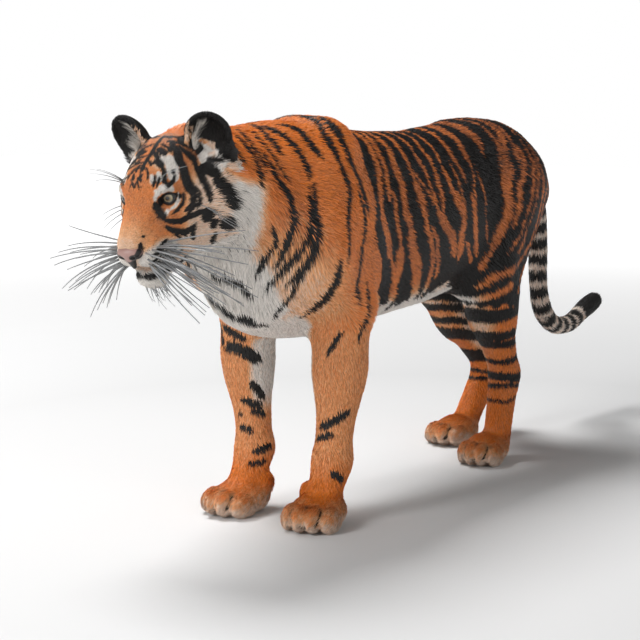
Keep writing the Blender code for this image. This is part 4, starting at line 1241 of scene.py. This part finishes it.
def grow_coat():
    """Roots scattered over the skin, sorted into pieces, and a tuft of three triangles grown on each."""
    chance = np.random.default_rng(20)
    skin.data.calc_loop_triangles()
    corners = np.zeros(len(skin.data.loop_triangles) * 3, np.int32)
    skin.data.loop_triangles.foreach_get("vertices", corners)
    corners = corners.reshape(-1, 3)
    a, b, c = (skin_places[corners[:, k]] for k in range(3))
    areas = np.linalg.norm(np.cross(b - a, c - a), axis=1) / 2
    growth = coat_here(skin_places, skin_normals)[4][corners].mean(1)
    wanted = areas * TUFTS_PER_SQUARE_METRE * growth
    counts = np.floor(wanted + chance.random(len(wanted))).astype(int)
    owner = np.repeat(np.arange(len(corners)), counts)
    first, second = chance.random(len(owner)), chance.random(len(owner))
    flip = first + second > 1
    first[flip], second[flip] = 1 - first[flip], 1 - second[flip]
    shares = np.stack([1 - first - second, first, second], 1)
    roots = (skin_places[corners[owner]] * shares[:, :, None]).sum(1)
    normals = (skin_normals[corners[owner]] * shares[:, :, None]).sum(1)
    normals /= np.linalg.norm(normals, axis=1, keepdims=True)
    way, length, width, lift, growth = coat_here(roots, normals)
    kept = growth > 0.01
    roots, normals, way, length, width, lift = (x[kept] for x in (roots, normals, way, length, width, lift))
    count = len(roots)
    # How far each tuft's painted light at the tip goes, at random.
    shine = chance.uniform(0.70, 1.30, count)
    drift = np.stack([ripple(roots, 0.05, 31 + k) for k in range(3)], 1) * 0.16
    way = way / np.linalg.norm(way, axis=1, keepdims=True) + drift + chance.normal(size=(count, 3)) * 0.07
    way -= normals * (way * normals).sum(1, keepdims=True)
    size = np.linalg.norm(way, axis=1, keepdims=True)
    way /= np.maximum(size, 1e-6)
    length = length * chance.uniform(0.75, 1.2, count)
    lift = lift * chance.uniform(0.6, 1.4, count)
    side = np.cross(normals, way)
    roll = chance.normal(size=count) * 0.35
    side = side * np.cos(roll)[:, None] + normals * np.sin(roll)[:, None]
    low, high = lift, lift * 0.25 - 0.04
    middles = roots + (way * np.cos(low)[:, None] + normals * np.sin(low)[:, None]) * (length * 0.5)[:, None]
    tips = middles + (way * np.cos(high)[:, None] + normals * np.sin(high)[:, None]) * (length * 0.5)[:, None]
    half = side * (width / 2)[:, None]
    sunk = roots - normals * 0.0006
    blades = np.stack([sunk - half, sunk + half, middles - half * 0.8, middles + half * 0.8, tips], 1)
    blades[:, :, 2] = np.maximum(blades[:, :, 2], 0.0008)

    black, pale, tone = markings(roots, normals)
    black = black + chance.normal(size=count) * np.where(length > 0.012, 0.0016, 0.0006)
    pale = np.clip(pale + chance.normal(size=count) * 0.07 * (pale > 0.02), 0, 1)
    tone = np.clip(tone + chance.normal(size=count) * 0.13, 0, 1)
    t = in_trunk(roots)
    names = coat_regions(t, in_head(roots))
    u, v = around(roots, names)
    fur = hair_material("tiger guard hair", 0.50)
    for name in np.unique(names):
        mine = np.nonzero(names == name)[0]
        number = len(mine)
        start = np.arange(number)[:, None] * TUFT_POINTS
        triangles = np.concatenate([start + [0, 1, 3], start + [0, 3, 2], start + [2, 3, 4]], 1)
        triangles = triangles.reshape(-1, 3)
        mesh = bpy.data.meshes.new(str(name))
        mesh.vertices.add(number * TUFT_POINTS)
        mesh.vertices.foreach_set("co", blades[mine].astype(np.float32).ravel())
        mesh.loops.add(len(triangles) * 3)
        mesh.loops.foreach_set("vertex_index", triangles.astype(np.int32).ravel())
        mesh.polygons.add(len(triangles))
        mesh.polygons.foreach_set("loop_start", np.arange(len(triangles), dtype=np.int32) * 3)
        mesh.update(calc_edges=True)
        piece = bpy.data.objects.new(str(name), mesh)
        scene.collection.objects.link(piece)
        mesh.shade_smooth()
        # The share along each tuft, 0 at the root up to its shine at the tip, by which the hair material
        # paints shade and light.
        share = np.outer(shine[mine], [0.0, 0.0, 0.6, 0.6, 1.0]).ravel()
        keeps = [np.repeat(x[mine], TUFT_POINTS) for x in (black * BLACK_SCALE, pale, tone)]
        point_colours(piece, "coat", np.stack([*keeps, share], 1))
        corner_u = np.array([-0.5, 0.5, -0.4, 0.4, 0.0]) * PATCH
        corner_v = np.array([-0.5, -0.5, 0.0, 0.0, 0.5]) * PATCH
        places = np.stack([u[mine, None] + corner_u, v[mine, None] + corner_v], 2).reshape(-1, 2)
        unwrap = mesh.uv_layers.new(name="OFBake")
        unwrap.data.foreach_set("uv", places[triangles.ravel()].astype(np.float32).ravel())
        mesh.materials.append(fur)
        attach(piece, "root")


grow_coat()

# ---------------------------------------------------------------- eyes
# Each eye is a wet ball under a clear cornea: a round black pupil in a pale grey-brown iris with a dark rim.
# A smooth clear coat gives the sharp glint.

IRIS_ANGLE = math.radians(38.0)  # from the middle of the iris to its rim, seen from the eye's centre
CORNEA = 0.0011  # how far the cornea bulges beyond the ball
GAZE = np.array([0.26, 0.955, 0.12])  # of the left eye, in the head's frame
GAZE /= np.linalg.norm(GAZE)


def eye_piece(side, name):
    """A ball of rings about the line of sight; 'sight' keeps each ring's angle as a share of the iris."""
    rings, turns = 60, 64
    angles = math.pi * np.linspace(0.0, 1.0, rings) ** 1.5
    spins = np.linspace(0, 2 * math.pi, turns, endpoint=False)
    gaze = GAZE * [side, 1, 1]
    across = np.cross(gaze, [0, 0, 1.0])
    across /= np.linalg.norm(across)
    above = np.cross(across, gaze)
    bulge = CORNEA * np.maximum(1 - (angles / IRIS_ANGLE) ** 2, 0) ** 1.5
    radius = EYE_RADIUS + bulge
    ring = np.cos(spins)[:, None] * across + np.sin(spins)[:, None] * above
    q = np.cos(angles)[:, None, None] * gaze + np.sin(angles)[:, None, None] * ring
    q = q * radius[:, None, None] + [EYE_SIDE * side, -EYE_BACK, 0]
    faces = []
    for i in range(rings - 1):
        for j in range(turns):
            k = (j + 1) % turns
            faces.append((i * turns + j, i * turns + k, (i + 1) * turns + k, (i + 1) * turns + j))
    piece = sheet_mesh(name, from_head(q.reshape(-1, 3)), faces)
    shape = bmesh.new()
    shape.from_mesh(piece.data)
    sight = shape.verts.layers.float_color.new("sight")
    for vertex, angle, spin in zip(shape.verts, np.repeat(angles, turns), np.tile(spins, rings)):
        vertex[sight] = (angle / IRIS_ANGLE / 2, 0.5 + 0.5 * math.sin(23 * spin), 0.0, 1.0)
    bmesh.ops.remove_doubles(shape, verts=shape.verts, dist=1e-6)
    bmesh.ops.recalc_face_normals(shape, faces=shape.faces)
    shape.to_mesh(piece.data)
    shape.free()
    piece.data.shade_smooth()
    return piece


wet_eye, shader = new_material("wet eye", Roughness=0.25, IOR=1.376, Coat_Weight=0.7, Coat_Roughness=0.02)
sight = add_node(wet_eye, "ShaderNodeAttribute", attribute_name="sight")
parts = add_node(wet_eye, "ShaderNodeSeparateColor", {"Color": sight.outputs["Color"]})
iris = add_node(wet_eye, "ShaderNodeValToRGB", {"Fac": parts.outputs["Red"]})
for position, colour in (
    (0.0, "040404"),
    (0.130, "040404"),
    (0.150, "40372a"),
    (0.24, "84745c"),
    (0.36, "9e8e74"),
):
    stop = iris.color_ramp.elements.new(position) if position > 0 else iris.color_ramp.elements[0]
    stop.color = linear(colour)
for position, colour in ((0.44, "8a8468"), (0.485, "2b2417"), (0.51, "120d0b")):
    iris.color_ramp.elements.new(position).color = linear(colour)
iris.color_ramp.elements[-1].color = linear("1c1512")
streaks = add_node(wet_eye, "ShaderNodeMapRange", {"Value": parts.outputs["Green"]}, To_Min=0.86, To_Max=1.0)
shaded = add_node(wet_eye, "ShaderNodeVectorMath", operation="SCALE")
wet_eye.node_tree.links.new(iris.outputs["Color"], shaded.inputs[0])
wet_eye.node_tree.links.new(streaks.outputs[0], shaded.inputs["Scale"])
wet_eye.node_tree.links.new(shaded.outputs[0], shader.inputs["Base Color"])

for side, name in ((1, "left"), (-1, "right")):
    eye = eye_piece(side, "eyeball_" + name)
    eye.data.materials.append(wet_eye)
    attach(eye, "root")
    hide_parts("eye_" + name)

# ---------------------------------------------------------------- lid rims
# The bare wet edge of the lids, black skin that shines where it meets the eye.


def tube(name, loops, radius_of, sides, closed):
    """Joined tubes. loops are arrays of places; radius_of gives the radius at a share of the way along."""
    places, faces, start = [], [], 0
    for loop in loops:
        count = len(loop)
        ahead = np.roll(loop, -1, 0) - np.roll(loop, 1, 0)
        if not closed:
            ahead[0], ahead[-1] = loop[1] - loop[0], loop[-1] - loop[-2]
        ahead /= np.linalg.norm(ahead, axis=1, keepdims=True)
        helper = np.array([0.02, 0.05, 1.0]) if abs(ahead[0, 2]) < 0.9 else np.array([1.0, 0.05, 0.02])
        across = np.cross(ahead, helper)
        across /= np.linalg.norm(across, axis=1, keepdims=True)
        above = np.cross(ahead, across)
        radius = np.array([radius_of(i / (count - 1)) for i in range(count)])
        for turn in np.arange(sides) * 2 * math.pi / sides:
            places.append(loop + (across * math.cos(turn) + above * math.sin(turn)) * radius[:, None])
        for i in range(count if closed else count - 1):
            j = (i + 1) % count
            for k in range(sides):
                m = (k + 1) % sides
                near, far = start + k * count, start + m * count
                faces.append((near + i, near + j, far + j, far + i))
        if not closed:
            faces.append(tuple(start + k * count for k in range(sides)))
            faces.append(tuple(start + k * count + count - 1 for k in reversed(range(sides))))
        start += sides * count
    obj = bpy.data.objects.new(name, bpy.data.meshes.new(name))
    obj.data.from_pydata(np.concatenate(places).tolist(), [], faces)
    scene.collection.objects.link(obj)
    shape = bmesh.new()
    shape.from_mesh(obj.data)
    bmesh.ops.recalc_face_normals(shape, faces=shape.faces)
    shape.to_mesh(obj.data)
    shape.free()
    obj.data.shade_smooth()
    return obj


RIM = 0.0011  # radius of the lids' bare edge


def lid_loop(side):
    """The almond between the lids, laid on a ball a little larger than the eye."""
    turn = np.linspace(0, 2 * math.pi, 72, endpoint=False)
    across = np.cos(turn)
    height = np.where(np.sin(turn) > 0, LID_TOP, LID_BOTTOM) * (1 - across**2) ** 0.8 * np.sign(np.sin(turn))
    across = across * LID_HALF
    out = np.sqrt(np.maximum((EYE_RADIUS + RIM) ** 2 - across**2 - height**2, 0))
    q = across[:, None] * EYE_OUTER + height[:, None] * EYE_UP + out[:, None] * EYE_OUT
    q += [EYE_SIDE, -EYE_BACK, 0]
    return from_head(q * [side, 1, 1])


rim_skin, _ = new_material(
    "wet black lid skin",
    Base_Color=linear("0d0b0a"),
    Roughness=0.28,
    IOR=1.4,
    Coat_Weight=0.5,
    Coat_Roughness=0.1,
)
rims = tube("lid_rims", [lid_loop(1), lid_loop(-1)], lambda share: RIM, 8, True)
rims.data.materials.append(rim_skin)
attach(rims, "root")

# ---------------------------------------------------------------- nose
# Bare leather, pink above and black in and under the nostrils: moist, finely pebbled skin.


def nose_form(q):
    """Distance to the nose leather: a wide wing on each side, a wedge down to the lip, and comma nostrils."""
    p = np.abs(q) * [0.92, 0, 0] + drawn_back(q) * [0, 1, 1]
    d = egg(p, (0, 0.0850, -0.0570), (0.0200, 0.0175, 0.0115))
    d = meet(d, egg(p, (0.0125, 0.0850, -0.0605), (0.0110, 0.0140, 0.0110)), 0.004)
    d = meet(d, limb(p, (0, 0.0870, -0.0660), (0, 0.0860, -0.0880), 0.0115, 0.0040), 0.006)
    d = carve(d, egg(p, (0.0105, 0.1010, -0.0655), (0.0046, 0.0090, 0.0042)), 0.0015)
    d = carve(d, limb(p, (0.0125, 0.0995, -0.0645), (0.0235, 0.0900, -0.0590), 0.0024, 0.0012), 0.002)
    return carve(d, limb(p, (0, 0.1060, -0.0690), (0, 0.0960, -0.0880), 0.0004, 0.0008), 0.002)


def formed(name, form, low, high, step):
    """A mesh of the zero surface of a form given in the head's frame, found on a grid between two corners."""
    axes = [np.arange(low[k], high[k], step) for k in range(3)]
    q = np.stack(np.meshgrid(*axes, indexing="ij"), -1)
    values = form(q.reshape(-1, 3)).reshape(q.shape[:3]).astype(np.float32)
    grid = openvdb.FloatGrid(background=0.1)
    grid.copyFromArray(values)
    points, quads = grid.convertToQuads(isovalue=0.0)
    q = points * step + np.array(low)
    obj = sheet_mesh(name, from_head(q), quads[:, ::-1])
    obj.data.shade_smooth()
    return obj, q


nose, nose_q = formed("nose_leather", nose_form, (-0.032, 0.066, -0.100), (0.032, 0.122, -0.040), 0.0008)
sides_q = np.abs(nose_q) * [0.92, 0, 0] + drawn_back(nose_q) * [0, 1, 1]
nostril = egg(sides_q, (0.0135, 0.0975, -0.0655), (0.0088, 0.0110, 0.0078))
comma = limb(sides_q, (0.0140, 0.0985, -0.0640), (0.0235, 0.0880, -0.0540), 0.0040, 0.0050)
nostril = np.minimum(nostril, comma)
margin = (-0.0700 - nose_q[:, 2] - 0.55 * np.maximum(0.010 - sides_q[:, 0], -1) + 0.0015) * 0.7
dark = smooth_step(0.0012, -0.0006, nostril)
dark = np.maximum(dark, smooth_step(-0.0010, 0.0014, margin))
point_colours(nose, "leather", np.outer(dark, [1, 0, 0, 0]) + [0, 0, 0, 1])
leather, shader = new_material(
    "moist nose leather", Roughness=0.42, IOR=1.45, Coat_Weight=0.25, Coat_Roughness=0.3
)
reads = add_node(leather, "ShaderNodeAttribute", attribute_name="leather")
parts = add_node(leather, "ShaderNodeSeparateColor", {"Color": reads.outputs["Color"]})
pinks = add_node(
    leather,
    "ShaderNodeMixRGB",
    {"Fac": parts.outputs["Red"]},
    Color1=linear("9c7a72"),
    Color2=linear("14100f"),
)
places = add_node(leather, "ShaderNodeTexCoord")
pebbles = add_node(leather, "ShaderNodeTexVoronoi", {"Vector": places.outputs["Object"]}, Scale=900.0)
bumps = add_node(leather, "ShaderNodeBump", {"Height": pebbles.outputs[0]}, Strength=0.4, Distance=0.0006)
leather.node_tree.links.new(pinks.outputs["Color"], shader.inputs["Base Color"])
leather.node_tree.links.new(bumps.outputs["Normal"], shader.inputs["Normal"])
nose.data.materials.append(leather)
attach(nose, "root")
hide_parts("nose")

# ---------------------------------------------------------------- whiskers
# Stiff grey hairs that grow thinner outwards: thick rows on the pads, thin ones over the eyes, on the cheeks
# and under the chin, and fine pale ones at the ears. Horn-like keratin, smooth enough to shine.


SIDE_ROOM, FRONT_ROOM = 0.012, 0.050  # how far a hair may reach past the solids' box, sideways and ahead


def on_skin(q):
    """Moves places in the head's frame onto the head's form."""
    for _ in range(4):
        value = head_form(q)
        slope = np.stack([head_form(q + step) - value for step in np.eye(3) * 0.0005], 1) / 0.0005
        q = q - slope * (value / np.maximum((slope**2).sum(1), 0.3))[:, None]
    return q


def hair_lines(roots, ways, bends, lengths, steps):
    """Curved centre lines in world places: root + way * s * length + bend * s^2 * length, kept in the box."""
    share = np.linspace(0, 1, steps)[:, None]
    low, high = np.array(cad_size)
    lines = []
    for root, way, turn, length in zip(roots, ways, bends, lengths):
        way = np.array(way) / np.linalg.norm(way)
        for _ in range(12):
            line = from_head(root + way * share * length + np.array(turn) * share**2 * length)
            sideways = (line[:, 0] > low[0] - SIDE_ROOM).all() and (line[:, 0] < high[0] + SIDE_ROOM).all()
            if sideways and (line[:, 1] > low[1] - FRONT_ROOM).all():
                break
            length *= 0.93
        lines.append(line)
    return lines


chance = np.random.default_rng(5)
roots, ways, bends, lengths = [], [], [], []
for side in (1, -1):
    for row in range(5):
        for place in range(6):
            roots.append((side * (0.026 + 0.0042 * place), 0.084 - 0.0085 * place, -0.066 - 0.0085 * row))
            ways.append(
                (
                    side * chance.uniform(0.80, 1.0),
                    0.52 - 0.11 * place + chance.uniform(-0.1, 0.1),
                    0.16 - 0.20 * row + chance.uniform(-0.14, 0.10),
                )
            )
            bends.append((side * -0.02, -0.14 - chance.uniform(0, 0.1), -0.12 - chance.uniform(0, 0.18)))
            lengths.append(chance.uniform(0.120, 0.185) * (1 - 0.06 * row))
whisker_roots = on_skin(np.array(roots))
lines = hair_lines(whisker_roots, ways, bends, lengths, 9)
whiskers = tube("whiskers", lines, lambda share: 0.0019 * (1 - 0.62 * share), 5, False)

roots, ways, bends, lengths = [], [], [], []
for side in (1, -1):
    for k in range(4):
        roots.append((side * (0.030 + 0.006 * k), 0.012 - 0.006 * k, 0.034))
        ways.append((side * (0.25 + 0.2 * k), 0.75 - 0.15 * k, 0.75 + 0.1 * k))
        bends.append((side * 0.25, -0.2, -0.35))
        lengths.append(chance.uniform(0.045, 0.075))
    for k in range(4):
        roots.append((side * 0.085, -0.030 - 0.012 * k, -0.030 - 0.012 * k))
        ways.append((side * 1.0, 0.35, -0.15 - 0.1 * k))
        bends.append((0, -0.25, -0.2))
        lengths.append(chance.uniform(0.05, 0.08))
for k in range(34):
    roots.append((chance.uniform(-0.022, 0.022), chance.uniform(0.030, 0.072), -0.140))
    ways.append((chance.uniform(-0.45, 0.45), chance.uniform(-0.2, 0.35), -1.0))
    bends.append((chance.uniform(-0.1, 0.1), -0.2, 0.05))
    lengths.append(chance.uniform(0.035, 0.065))
lines = hair_lines(on_skin(np.array(roots)), ways, bends, lengths, 7)
fine_hairs = tube("brow_and_chin_hairs", lines, lambda share: 0.0010 * (1 - 0.70 * share), 4, False)

roots, ways, bends, lengths = [], [], [], []
for side in (1, -1):
    for k in range(150):
        rise = chance.uniform(0, 1)
        outward = 0.058 + 0.022 * rise + chance.uniform(-0.003, 0.006)
        roots.append((side * outward, -0.094 - 0.01 * rise, 0.046 + 0.036 * rise))
        ways.append((side * chance.uniform(0.2, 0.9), chance.uniform(0.15, 0.5), chance.uniform(0.35, 1.0)))
        bends.append((side * 0.15, -0.1, 0.1))
        lengths.append(chance.uniform(0.014, 0.030))
lines = hair_lines(on_skin(np.array(roots)), ways, bends, lengths, 5)
ear_hairs = tube("ear_hairs", lines, lambda share: 0.00045 * (1 - 0.85 * share), 3, False)

grey_hair, _ = new_material("whisker keratin", Base_Color=linear("808182"), Roughness=0.38, IOR=1.55)
pale_hair, _ = new_material("pale ear hair", Base_Color=linear("cfc8bf"), Roughness=0.5, IOR=1.55)
for piece, material, slot in (
    (whiskers, grey_hair, "chin_fur"),
    (fine_hairs, grey_hair, "chin_fur"),
    (ear_hairs, pale_hair, "ear_fur"),
):
    piece.data.materials.append(material)
    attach(piece, "root")
